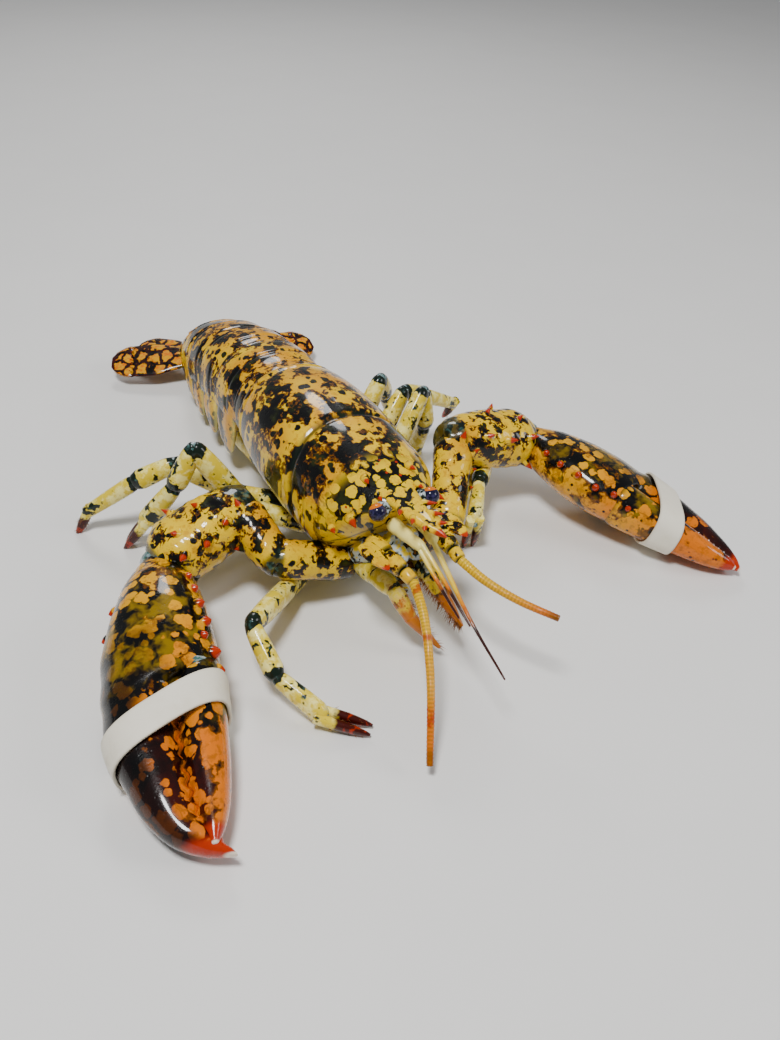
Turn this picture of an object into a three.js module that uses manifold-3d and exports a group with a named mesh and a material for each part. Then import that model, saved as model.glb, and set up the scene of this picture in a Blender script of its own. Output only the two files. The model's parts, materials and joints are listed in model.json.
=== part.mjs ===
// American lobster at life size, resting on its legs, claws and tail fan, with a rubber band round each claw.
// Millimetres, +Z up. The head points to -Y and the animal's left side is +X. The floor is z = 0.
import * as THREE from "three";
import { mergeVertices } from "three/addons/utils/BufferGeometryUtils.js";
import Module from "manifold-3d";

const wasm = await Module();
wasm.setup();

// Driving dimensions
const SHELL_LENGTH = 100; // eye socket to the rear edge of the carapace
const SHELL_HALF_WIDTH = 28;
const SOCKET_Y = -60;
const SHELL_REAR_Y = SOCKET_Y + SHELL_LENGTH;
const ROSTRUM_LENGTH = 27;
const TAIL_HALF_WIDTH = 24;
const CRUSHER_LENGTH = 120.5;
const CUTTER_LENGTH = 108;
const BAND_WIDTH = 11;
const BAND_THICKNESS = 1.1;
const GAP = 0.3; // clear space between two pieces that touch
const SPINE_ROOT = 1.5; // how far a spine's base is sunk in its shell
const SPINE_SIDES = 5;
const SMOOTHING = 0.1; // detail smaller than this is left out of a cut piece
const SIDES_OF = { shell: 22, tail: 18, vane: 10, palm: 16, finger: 12, arm: 12, band: 16, leg: 8, jaw: 7, feeler: 6 };

const LOOKS = {
  shell: { color: 0xc9862b, roughness: 0.35 },
  pale_shell: { color: 0xe9d77a, roughness: 0.4 },
  claw: { color: 0xb9701f, roughness: 0.3 },
  feeler: { color: 0xd8a23a, roughness: 0.5 },
  eye: { color: 0x17152b, roughness: 0.15 },
  band: { color: 0xece7d8, roughness: 0.6 },
};

const Y = new THREE.Vector3(0, 1, 0);
const Z = new THREE.Vector3(0, 0, 1);
const point = (x, y, z) => new THREE.Vector3(x, y, z);
const rad = THREE.MathUtils.degToRad;

// A closed mesh as a solid that can be joined and cut
function solidOf(geometry) {
  const bare = geometry.clone();
  bare.deleteAttribute("normal");
  bare.deleteAttribute("uv");
  const merged = mergeVertices(bare, 1e-4);
  return new wasm.Manifold(
    new wasm.Mesh({
      numProp: 3,
      vertProperties: merged.attributes.position.array,
      triVerts: new Uint32Array(merged.index.array),
    }),
  );
}

function joined(pieces) {
  return pieces.reduce((whole, piece) => whole.add(piece));
}

function largest(solid) {
  const bodies = solid.decompose();
  return bodies.reduce((best, body) => (body.volume() > best.volume() ? body : best));
}

// A place and direction: local Y runs along a piece, local Z is its upper face, local X its side
function frameOf(origin, along, face = Z) {
  const forward = along.clone().normalize();
  const level = Math.abs(forward.dot(face)) > 0.999 ? Y : face;
  const up = level.clone().addScaledVector(forward, -level.dot(forward)).normalize();
  const side = forward.clone().cross(up);
  return new THREE.Matrix4().makeBasis(side, forward, up).setPosition(origin);
}

// The same from a heading round the floor from +X, a rise above it and a roll, in degrees
function aimed(origin, heading, rise = 0, roll = 0) {
  const level = Math.cos(rad(rise));
  const along = point(level * Math.cos(rad(heading)), level * Math.sin(rad(heading)), Math.sin(rad(rise)));
  const plain = frameOf(origin, along);
  return plain.multiply(new THREE.Matrix4().makeRotationY(rad(-roll)));
}

const inFrame = (frame, x, y, z) => point(x, y, z).applyMatrix4(frame);

// One cross-section of a loft: half width, height above and depth below its centre, at y along the piece
const section = (y, wide, tall, more = {}) => ({ y, wide, tall, low: tall, x: 0, z: 0, power: 2.2, lean: 0, ...more });

const rounded = (value, power) => Math.sign(value) * Math.abs(value) ** (2 / power);

// A closed shape through cross-sections: the rings of a cylinder moved on to them
function loft(sections, sides, grow = 0) {
  const last = sections.length - 1;
  const skin = new THREE.CylinderGeometry(1, 1, 1, sides, last);
  const spots = skin.attributes.position;
  for (let i = 0; i < spots.count; i += 1) {
    const index = Math.round((0.5 - spots.getY(i)) * last);
    const cut = sections[index];
    const across = rounded(spots.getZ(i), cut.power);
    const above = rounded(spots.getX(i), cut.power);
    const height = (above > 0 ? cut.tall : cut.low) + grow;
    const overrun = index === 0 ? -grow : index === last ? grow : 0;
    const setBack = (cut.lean * (1 - above)) / 2;
    spots.setXYZ(i, cut.x + across * (cut.wide + grow), cut.y + overrun + setBack, cut.z + above * height);
  }
  return skin;
}

const loftIn = (frame, sections, sides, grow = 0) => solidOf(loft(sections, sides, grow).applyMatrix4(frame));

// The point of a loft's skin at y, turned from its side towards its upper face, and the way out of it there
function onSkin(sections, y, turn) {
  const next = Math.max(1, sections.findIndex((cut) => cut.y >= y));
  const a = sections[next - 1];
  const b = sections[next];
  const t = THREE.MathUtils.clamp((y - a.y) / (b.y - a.y), 0, 1);
  const mix = (key) => a[key] + (b[key] - a[key]) * t;
  const across = rounded(Math.cos(rad(turn)), mix("power"));
  const above = rounded(Math.sin(rad(turn)), mix("power"));
  const height = above > 0 ? mix("tall") : mix("low");
  const at = point(mix("x") + across * mix("wide"), y, mix("z") + above * height);
  return { at, out: point(across / mix("wide"), 0, above / height).normalize() };
}

function spine(at, along, length, radius, grow = 0) {
  const reach = length + 3 * grow;
  const cone = new THREE.ConeGeometry(radius + grow, reach + SPINE_ROOT, SPINE_SIDES);
  cone.translate(0, (reach - SPINE_ROOT) / 2, 0);
  return solidOf(cone.applyMatrix4(frameOf(at, along)));
}

// Spines set on a loft's skin, each [y, turn, length, radius], leaning forward along the piece
function spinesOn(frame, sections, list, grow, forward = 0.6) {
  return list.map(([y, turn, length, radius]) => {
    const { at, out } = onSkin(sections, y, turn);
    const along = out.clone().addScaledVector(Y, forward);
    return spine(at.clone().applyMatrix4(frame), along.transformDirection(frame), length, radius, grow);
  });
}

function ball(at, radius) {
  const sphere = new THREE.SphereGeometry(radius, 10, 7);
  return solidOf(sphere.translate(at.x, at.y, at.z));
}

// A tapering feeler along a smooth curve through its points
function feeler(points, rootRadius, tipRadius, steps, sides, grow = 0) {
  const curve = new THREE.CatmullRomCurve3(points);
  const skin = new THREE.CylinderGeometry(1, 1, 1, sides, steps);
  const spots = skin.attributes.position;
  for (let i = 0; i < spots.count; i += 1) {
    const t = 0.5 - spots.getY(i);
    const along = curve.getTangentAt(t);
    const frame = frameOf(curve.getPointAt(t), along);
    const radius = rootRadius + (tipRadius - rootRadius) * t + grow;
    const overrun = t < 0.001 ? -grow : t > 0.999 ? grow : 0;
    const spot = point(spots.getZ(i) * radius, overrun, spots.getX(i) * radius).applyMatrix4(frame);
    spots.setXYZ(i, spot.x, spot.y, spot.z);
  }
  return solidOf(skin);
}

// The lobster and its groups
const lobster = new THREE.Group();
const placed = [];

function groupOf(name) {
  const group = new THREE.Group();
  group.name = name;
  lobster.add(group);
  return group;
}

function overlapping(a, b) {
  const boxA = a.boundingBox();
  const boxB = b.boundingBox();
  return [0, 1, 2].every((axis) => boxA.min[axis] < boxB.max[axis] && boxB.min[axis] < boxA.max[axis]);
}

// Adds one named piece. make(grow) gives its solid, fatter by grow all round. The piece is cut clear of the
// pieces placed before it and of the floor, and its mesh is hung on its own frame.
function place(group, name, look, frame, make) {
  let solid = make(0);
  for (const room of placed) {
    if (overlapping(solid, room)) solid = solid.subtract(room);
  }
  if (solid.boundingBox().min[2] < 0) solid = solid.trimByPlane([0, 0, 1], 0);
  solid = largest(solid).simplify(SMOOTHING);
  placed.push(make(GAP));

  const cut = solid.getMesh();
  const geometry = new THREE.BufferGeometry();
  geometry.setAttribute("position", new THREE.BufferAttribute(cut.vertProperties.slice(), 3));
  geometry.setIndex(new THREE.BufferAttribute(cut.triVerts.slice(), 1));
  geometry.applyMatrix4(frame.clone().invert());
  geometry.computeVertexNormals();
  const mesh = new THREE.Mesh(geometry, new THREE.MeshStandardMaterial({ ...LOOKS[look], flatShading: true }));
  mesh.name = name;
  mesh.applyMatrix4(frame);
  group.add(mesh);
  return solid;
}

const HOME = new THREE.Matrix4();
const SIDES = [
  { side: "right", sign: -1 },
  { side: "left", sign: 1 },
];

// Head: eyes on their stalks
const EYE = { x: 11, y: SOCKET_Y + 0.5, z: 55.5, radius: 3.4, stalk: 2.5 };
const head = groupOf("head");

for (const { side, sign } of SIDES) {
  const centre = point(sign * EYE.x, EYE.y, EYE.z);
  const stalkRoot = point(sign * 4.5, EYE.y + 3, EYE.z - 1);
  place(head, `eye_${side}`, "eye", frameOf(centre, centre.clone().sub(stalkRoot)), (grow) =>
    joined([
      ball(centre, EYE.radius + grow),
      feeler([stalkRoot, centre], EYE.stalk - 0.3, EYE.stalk, 1, 8, grow),
    ]),
  );
}

// Body: the plate under the chest that the legs grow from, with the mouth at its front
const body = groupOf("body");
const STERNUM = [
  section(-60, 7, 5, { z: 38 }),
  section(-55, 10, 9, { z: 33 }),
  section(-47, 13, 10, { z: 27, low: 11 }),
  section(-38, 13.5, 8, { z: 19 }),
  section(-20, 13.5, 7, { z: 17 }),
  section(10, 13.5, 7, { z: 17 }),
  section(28, 12.5, 7, { z: 18 }),
  section(38, 9, 6, { z: 21 }),
];
place(body, "sternum", "pale_shell", HOME, (grow) => loftIn(HOME, STERNUM, 16, grow));

// Body: the carapace, with the groove across the neck, the rostrum and the spines round the eyes
const SHELL = [
  section(SOCKET_Y + 0.5, 9, 6, { z: 51.5, low: 9, lean: 3 }),
  section(SOCKET_Y + 4, 15, 11, { z: 48, low: 15, lean: 7 }),
  section(SOCKET_Y + 10, 20, 18, { z: 43, low: 18, lean: 8 }),
  section(SOCKET_Y + 18, 24, 23.5, { z: 39.5, low: 18.5, lean: 4 }),
  section(SOCKET_Y + 28, SHELL_HALF_WIDTH - 1.6, 26.5, { z: 37.5, low: 18, lean: -4 }),
  section(SOCKET_Y + 38, SHELL_HALF_WIDTH - 0.6, 28, { z: 37, low: 18, lean: -14 }),
  section(SOCKET_Y + 46, SHELL_HALF_WIDTH - 0.4, 28.4, { z: 37, low: 18, lean: -20 }),
  section(SOCKET_Y + 49, SHELL_HALF_WIDTH - 1.5, 27.2, { z: 37, low: 18, lean: -21 }),
  section(SOCKET_Y + 52, SHELL_HALF_WIDTH, 28.6, { z: 37, low: 18, lean: -21 }),
  section(SOCKET_Y + 62, SHELL_HALF_WIDTH + 0.5, 29, { z: 37, low: 18, lean: -18 }),
  section(SOCKET_Y + 74, SHELL_HALF_WIDTH + 0.3, 28.5, { z: 37, low: 17.5, lean: -12 }),
  section(SOCKET_Y + 86, SHELL_HALF_WIDTH - 0.8, 27, { z: 37, low: 16, lean: -6 }),
  section(SOCKET_Y + 95, SHELL_HALF_WIDTH - 2.3, 25, { z: 37, low: 13, lean: -4 }),
  section(SHELL_REAR_Y - 1.5, TAIL_HALF_WIDTH + 0.8, 24, { z: 37, low: 10, lean: -4 }),
  section(SHELL_REAR_Y, TAIL_HALF_WIDTH, 23, { z: 37, low: 9, lean: -4 }),
];
const ROSTRUM = [
  section(SOCKET_Y + 14, 7, 3, { z: 58 }),
  section(SOCKET_Y + 2, 6.2, 2.4, { z: 57.2 }),
  section(SOCKET_Y - 8, 4.6, 2, { z: 57.4 }),
  section(SOCKET_Y - 16, 3, 1.7, { z: 58.2 }),
  section(SOCKET_Y - 22, 1.7, 1.3, { z: 59.2 }),
  section(SOCKET_Y - ROSTRUM_LENGTH, 0.35, 0.35, { z: 60.6 }),
].reverse();
const ROSTRUM_SPINES = [
  { back: 5, length: 5.5 },
  { back: 11.5, length: 5 },
  { back: 17.5, length: 4.2 },
];
const FACE_SPINES = [
  { x: 8.6, y: SOCKET_Y + 3.5, z: 57.5, length: 6, radius: 1.9 },
  { x: 9.2, y: SOCKET_Y + 13, z: 61, length: 3.4, radius: 1.5 },
  { x: 17.5, y: SOCKET_Y + 8, z: 49, length: 6, radius: 2 },
  { x: 21.5, y: SOCKET_Y + 15, z: 41, length: 3.5, radius: 1.6 },
];

function carapace(grow) {
  const pieces = [loftIn(HOME, SHELL, SIDES_OF.shell, grow), loftIn(HOME, ROSTRUM, 8, grow)];
  for (const { sign } of SIDES) {
    for (const { back, length } of ROSTRUM_SPINES) {
      const { at } = onSkin(ROSTRUM, SOCKET_Y - back, sign > 0 ? 20 : 160);
      pieces.push(spine(at, point(sign * 0.75, -1, 0.45), length, 1.35, grow));
    }
    for (const { x, y, z, length, radius } of FACE_SPINES) {
      pieces.push(spine(point(sign * x, y, z), point(sign * 0.2, -1, 0.15), length, radius, grow));
    }
  }
  return joined(pieces);
}
place(body, "carapace", "shell", HOME, carapace);

// Tail: six segments, each a broad arch with a lobe hanging down at either side
const tail = groupOf("tail");
const TAIL_START = point(0, SHELL_REAR_Y - 5, 36.5);
const TAIL_SEGMENTS = [
  { length: 12, dip: 0, bend: 0, wide: 23.2, tall: 22.4, low: 13, lobe: 0 },
  { length: 21, dip: 6, bend: 0, wide: 24, tall: 22.8, low: 13, lobe: 24.5, broad: 9 },
  { length: 21, dip: 10, bend: 0, wide: 23.6, tall: 22.4, low: 12.5, lobe: 22.5, broad: 6.8 },
  { length: 20, dip: 14, bend: -2, wide: 22.6, tall: 21, low: 12, lobe: 20.5, broad: 6.4 },
  { length: 19, dip: 18, bend: -5, wide: 21, tall: 18.8, low: 11, lobe: 17.5, broad: 6 },
  { length: 21, dip: 21, bend: -9, wide: 19, tall: 15.5, low: 9, lobe: 12, broad: 6 },
];
const LAP = 4; // how far a segment reaches into the one before it

function tailSegment(frame, size, isLast) {
  const { length, wide, tall, low, lobe, broad } = size;
  const arch = [
    section(-LAP, wide * 0.9, tall * 0.9, { low: low * 0.8, power: 2.3 }),
    section(1.5, wide * 0.955, tall * 0.955, { low: low * 0.9, power: 2.3 }),
    section(length * 0.45, wide, tall, { low, power: 2.3 }),
    section(length - 0.6, wide * 0.995, tall * (isLast ? 0.82 : 0.995), { low: low * 0.95, power: 2.3 }),
    section(length + 1.6, wide * 0.955, tall * (isLast ? 0.7 : 0.955), { low: low * 0.85, power: 2.3 }),
  ];
  return (grow) => {
    const pieces = [loftIn(frame, arch, SIDES_OF.tail, grow)];
    if (!lobe) return pieces[0];
    for (const { sign } of SIDES) {
      const root = inFrame(frame, sign * (wide - 3.2), length * 0.5, 4);
      const down = point(sign * 0.06, 0.1, -1).transformDirection(frame);
      const lobeFrame = frameOf(root, down, point(sign, 0, 0).transformDirection(frame));
      const reach = lobe + 4;
      const blade = [
        section(0, broad * 1.05, 2.2),
        section(reach * 0.45, broad * 1.05, 2.6, { z: 0.8 }),
        section(reach * 0.75, broad * 0.8, 1.9, { z: 0.6 }),
        section(reach * 0.93, broad * 0.45, 1.2),
        section(reach, broad * 0.16, 0.6),
      ];
      pieces.push(loftIn(lobeFrame, blade, 8, grow));
    }
    return joined(pieces);
  };
}

let tailSpot = TAIL_START;
let tailFrame = HOME;
TAIL_SEGMENTS.forEach((size, index) => {
  tailFrame = aimed(tailSpot, 90 + size.bend, -size.dip);
  const isLast = index === TAIL_SEGMENTS.length - 1;
  place(tail, `tail_segment_${index + 1}`, "shell", tailFrame, tailSegment(tailFrame, size, isLast));
  tailSpot = inFrame(tailFrame, 0, size.length, 0);
});

// Tail fan: the telson in the middle, with an inner and an outer vane on either side
const FAN = { heading: 77, dip: 7, telson: 34, inner: 36, outer: 43 };
const fanRoot = inFrame(tailFrame, 0, TAIL_SEGMENTS[5].length - 1, 1);

const vane = (length, wide, thick) => [
  section(-2, wide * 0.45, thick),
  section(length * 0.2, wide * 0.72, thick * 1.15),
  section(length * 0.5, wide, thick),
  section(length * 0.78, wide * 0.95, thick * 0.8),
  section(length * 0.93, wide * 0.66, thick * 0.6),
  section(length, wide * 0.3, thick * 0.4),
];
const telsonFrame = aimed(fanRoot, FAN.heading, -FAN.dip);
place(tail, "telson", "shell", telsonFrame, (grow) => loftIn(telsonFrame, vane(FAN.telson, 11, 1.9), SIDES_OF.vane, grow));

for (const { side, sign } of SIDES) {
  const innerRoot = inFrame(telsonFrame, sign * 10, -1, -1.5);
  const innerFrame = aimed(innerRoot, FAN.heading - sign * 52, -FAN.dip + 1, sign * -8);
  place(tail, `tail_fan_inner_${side}`, "shell", innerFrame, (grow) =>
    loftIn(innerFrame, vane(FAN.inner, 9.5, 1.6), SIDES_OF.vane, grow),
  );
  const outerRoot = inFrame(telsonFrame, sign * 12, -5, -1);
  const outerFrame = aimed(outerRoot, FAN.heading - sign * 76, -FAN.dip + 1, sign * -20);
  place(tail, `tail_fan_outer_${side}`, "shell", outerFrame, (grow) =>
    loftIn(outerFrame, vane(FAN.outer, 10.5, 1.8), SIDES_OF.vane, grow),
  );
}

// Head: the short feelers, each a stalk that carries two thin whips
const SHORT_FEELER = { stalk: 2.2, whip: 1.05, tip: 0.4, steps: 7 };
const SHORT_FEELER_PATHS = {
  right: {
    stalk: [point(-4, -58, 47), point(-3, -67, 47.5), point(-1, -75, 47)],
    whips: [
      [point(-1, -74, 48.4), point(-0.2, -86, 43.2), point(0.6, -96, 38), point(1, -105, 34)],
      [point(-1.8, -74, 46.4), point(-1.6, -85, 41.5), point(-0.9, -94, 37), point(-0.3, -100, 34)],
    ],
  },
  left: {
    stalk: [point(5, -57, 47), point(5.5, -66, 47.5), point(4.5, -74, 47)],
    whips: [
      [point(3.8, -73, 48.4), point(3.4, -88, 40.2), point(3.4, -101, 33.4), point(2.7, -125, 26.2)],
      [point(4.8, -73, 46), point(4.8, -86, 39), point(4.5, -97, 33), point(4.2, -106, 29)],
    ],
  },
};

for (const { side } of SIDES) {
  const { stalk, whips } = SHORT_FEELER_PATHS[side];
  const frame = frameOf(stalk[0], stalk[2].clone().sub(stalk[0]));
  place(head, `antennule_${side}`, "feeler", frame, (grow) =>
    joined([
      feeler(stalk, SHORT_FEELER.stalk + 0.6, SHORT_FEELER.stalk - 0.3, 2, SIDES_OF.feeler, grow),
      ...whips.map((path) => feeler(path, SHORT_FEELER.whip, SHORT_FEELER.tip, SHORT_FEELER.steps, SPINE_SIDES, grow)),
    ]),
  );
}

// Head: the long feelers, each with a jointed base, a scale beside it and a stout whip cut short
const LONG_FEELER_PATHS = {
  right: {
    base: [point(-12, -57, 40), point(-10.5, -66, 40), point(-8.4, -75, 39), point(-7, -80, 37.6)],
    whip: [point(-7, -80, 37.6), point(-10.5, -93, 34.5), point(-17.5, -110, 26.5), point(-28.6, -131, 6)],
  },
  left: {
    base: [point(12, -57, 41), point(13, -66, 41.5), point(12.5, -75, 41), point(12.5, -80, 40)],
    whip: [point(12.5, -80, 40), point(15, -90.5, 38.6), point(20.8, -104.5, 37.4), point(29.2, -117.5, 36.2)],
  },
};
const LONG_FEELER = { base: 4.2, whip: 1.9, tip: 1.25, steps: 9 };

for (const { side, sign } of SIDES) {
  const { base, whip } = LONG_FEELER_PATHS[side];
  const baseFrame = frameOf(base[0], base[3].clone().sub(base[0]));
  const scale = [
    section(-1, 3.2, 1.4),
    section(4, 4, 1.5),
    section(8, 3.4, 1.3),
    section(12, 1.9, 0.9),
    section(14, 0.5, 0.5),
  ];
  const scaleRoot = inFrame(baseFrame, sign * -5, 3, 3.4);
  const scaleFrame = frameOf(scaleRoot, point(sign * -0.1, 1, 0.05).transformDirection(baseFrame));
  place(head, `antenna_base_${side}`, "pale_shell", baseFrame, (grow) =>
    joined([
      feeler(base.slice(0, 2), LONG_FEELER.base + 0.6, LONG_FEELER.base, 1, 9, grow),
      feeler(base.slice(1, 3), LONG_FEELER.base - 0.6, LONG_FEELER.base - 0.9, 1, 9, grow),
      feeler(base.slice(2, 4), LONG_FEELER.base - 1.5, LONG_FEELER.base - 1.7, 1, 9, grow),
      loftIn(scaleFrame, scale, 8, grow),
    ]),
  );
  const whipFrame = frameOf(whip[0], whip[3].clone().sub(whip[0]));
  place(head, `antenna_${side}`, "feeler", whipFrame, (grow) =>
    feeler(whip, LONG_FEELER.whip, LONG_FEELER.tip, LONG_FEELER.steps, SIDES_OF.feeler, grow),
  );
}

// Head: the outer jaws, each a small bent limb folded under the mouth
const JAW_PATHS = {
  right: [point(-8, -46, 18), point(-9, -60, 24), point(-8, -70, 25), point(-5, -77.5, 16), point(3, -86.5, 5)],
  left: [point(8, -46, 18), point(9, -60, 24), point(7, -71, 26), point(9, -79, 20), point(11, -88, 14)],
};
const JAW_RADII = [4.4, 4.4, 3.6, 3, 0.8];

for (const { side } of SIDES) {
  const path = JAW_PATHS[side];
  place(head, `outer_jaw_${side}`, "pale_shell", frameOf(path[0], path[1].clone().sub(path[0])), (grow) =>
    joined(
      path.slice(1).map((end, i) => {
        const start = path[i];
        const overlap = end.clone().sub(start).setLength(1.6);
        return feeler([start.clone().sub(overlap), end], JAW_RADII[i], JAW_RADII[i + 1], 1, SIDES_OF.jaw, grow);
      }),
    ),
  );
}

// A limb's joints: each step is a length with its heading, rise and roll, from where the last one ended
function stride(start, steps) {
  const frames = [];
  let spot = start;
  for (const [length, heading, rise, roll = 0] of steps) {
    const frame = aimed(spot, heading, rise, roll);
    frames.push(frame);
    spot = inFrame(frame, 0, length, 0);
  }
  return frames;
}

// Claw arms. inward is the side of local X that faces the animal's middle.
const CRUSHER_PALM = [
  section(-1, 5.5, 6),
  section(5, 9.4, 8.5, { x: -0.9 }),
  section(14, 13.8, 12.5, { x: -2 }),
  section(28, 17.6, 15.5, { x: -3.8 }),
  section(43, 19.8, 16.2, { x: -5.6, low: 16.8 }),
  section(57, 20.4, 15.4, { x: -6.6, low: 16 }),
  section(62, 13.6, 14.4, { x: -13.4 }),
  section(78, 11.6, 12.4, { x: -15, low: 11.4 }),
  section(92, 9.4, 10, { x: -13, low: 9.4 }),
  section(103, 7.6, 7.6, { x: -10.4 }),
  section(112, 6.4, 5.6, { x: -5.6 }),
  section(118, 4.2, 3.2, { x: 1.5, z: -1 }),
  section(CRUSHER_LENGTH, 0.8, 1, { x: 6.5, z: -1 }),
];
const CRUSHER_FINGER = [
  section(54, 7.2, 10.5, { x: 6.6 }),
  section(59, 8.4, 12.6, { x: 5.6 }),
  section(71, 8.2, 11.6, { x: 4.6, low: 11.2 }),
  section(87, 7.4, 9.6, { x: 3.6 }),
  section(101, 5.6, 7, { x: 3 }),
  section(111, 3.4, 4.4, { x: 2, z: 1 }),
  section(117, 0.9, 1.2, { x: 1.2, z: 2.5 }),
];
const CUTTER_PALM = [
  section(-1, 5, 5.5),
  section(5, 8.6, 7.5),
  section(13, 13.4, 10),
  section(26, 17.6, 12),
  section(39, 19.2, 12.4),
  section(50, 18.6, 11.8),
  section(55, 12, 11, { x: -6.4 }),
  section(68, 10.2, 9.4, { x: -7.8 }),
  section(83, 7.8, 7.4, { x: -6.6 }),
  section(96, 4.8, 5, { x: -3.6 }),
  section(104, 2.4, 3, { x: -0.2 }),
  section(CUTTER_LENGTH, 0.6, 0.8, { x: 2.2 }),
];
const CUTTER_FINGER = [
  section(47, 6.2, 8, { x: 10.2 }),
  section(52, 7.7, 9.8, { x: 9.7 }),
  section(64, 7.3, 8.8, { x: 8.9 }),
  section(80, 6.1, 7, { x: 7.3 }),
  section(93, 4.6, 5, { x: 6 }),
  section(102, 2.6, 3, { x: 3.9 }),
  section(106, 0.6, 0.8, { x: 3 }),
];

const CLAWS = {
  right: {
    inward: -1,
    root: point(-12, -40, 17),
    steps: [
      [29.4, 168.8, 15.8],
      [26.4, 102, 19.2],
      [36, 187, -19],
      [CRUSHER_LENGTH, -102, -6.5, -4],
    ],
    palm: CRUSHER_PALM,
    finger: CRUSHER_FINGER,
    knobs: [
      [24, 38, 3.6, 2.6],
      [31, 34, 3.6, 2.8],
      [39, 30, 4, 3],
      [46, 38, 3.2, 2.6],
      [52, 26, 4.4, 3],
      [17, 40, 3, 2.2],
      [22, 168, 3, 2.4],
      [33, 172, 2.6, 2.4],
    ],
    fingerKnobs: [
      [58, 20, 3.2, 2.6],
      [66, 60, 2, 2.2],
    ],
    bandAt: 71,
    bandLean: 21,
  },
  left: {
    inward: 1,
    root: point(12, -41, 16),
    steps: [
      [24, 8, 8],
      [38, 55, 26],
      [38, -3, -12],
      [CUTTER_LENGTH, -62, -13, 15],
    ],
    palm: CUTTER_PALM,
    finger: CUTTER_FINGER,
    knobs: [
      [14, 22, 3.6, 2],
      [22, 20, 4, 2.2],
      [31, 22, 4.2, 2.3],
      [40, 20, 4, 2.3],
      [48, 26, 3.6, 2.2],
      [20, 160, 2.4, 1.9],
    ],
    fingerKnobs: [[56, 20, 2.6, 2]],
    bandAt: 67.5,
    bandLean: -27,
  },
};

const mirrored = (sections, sign) => sections.map((cut) => ({ ...cut, x: cut.x * sign }));
const turned = (list, sign) => list.map(([y, turn, ...rest]) => [y, sign > 0 ? turn : 180 - turn, ...rest]);

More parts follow.
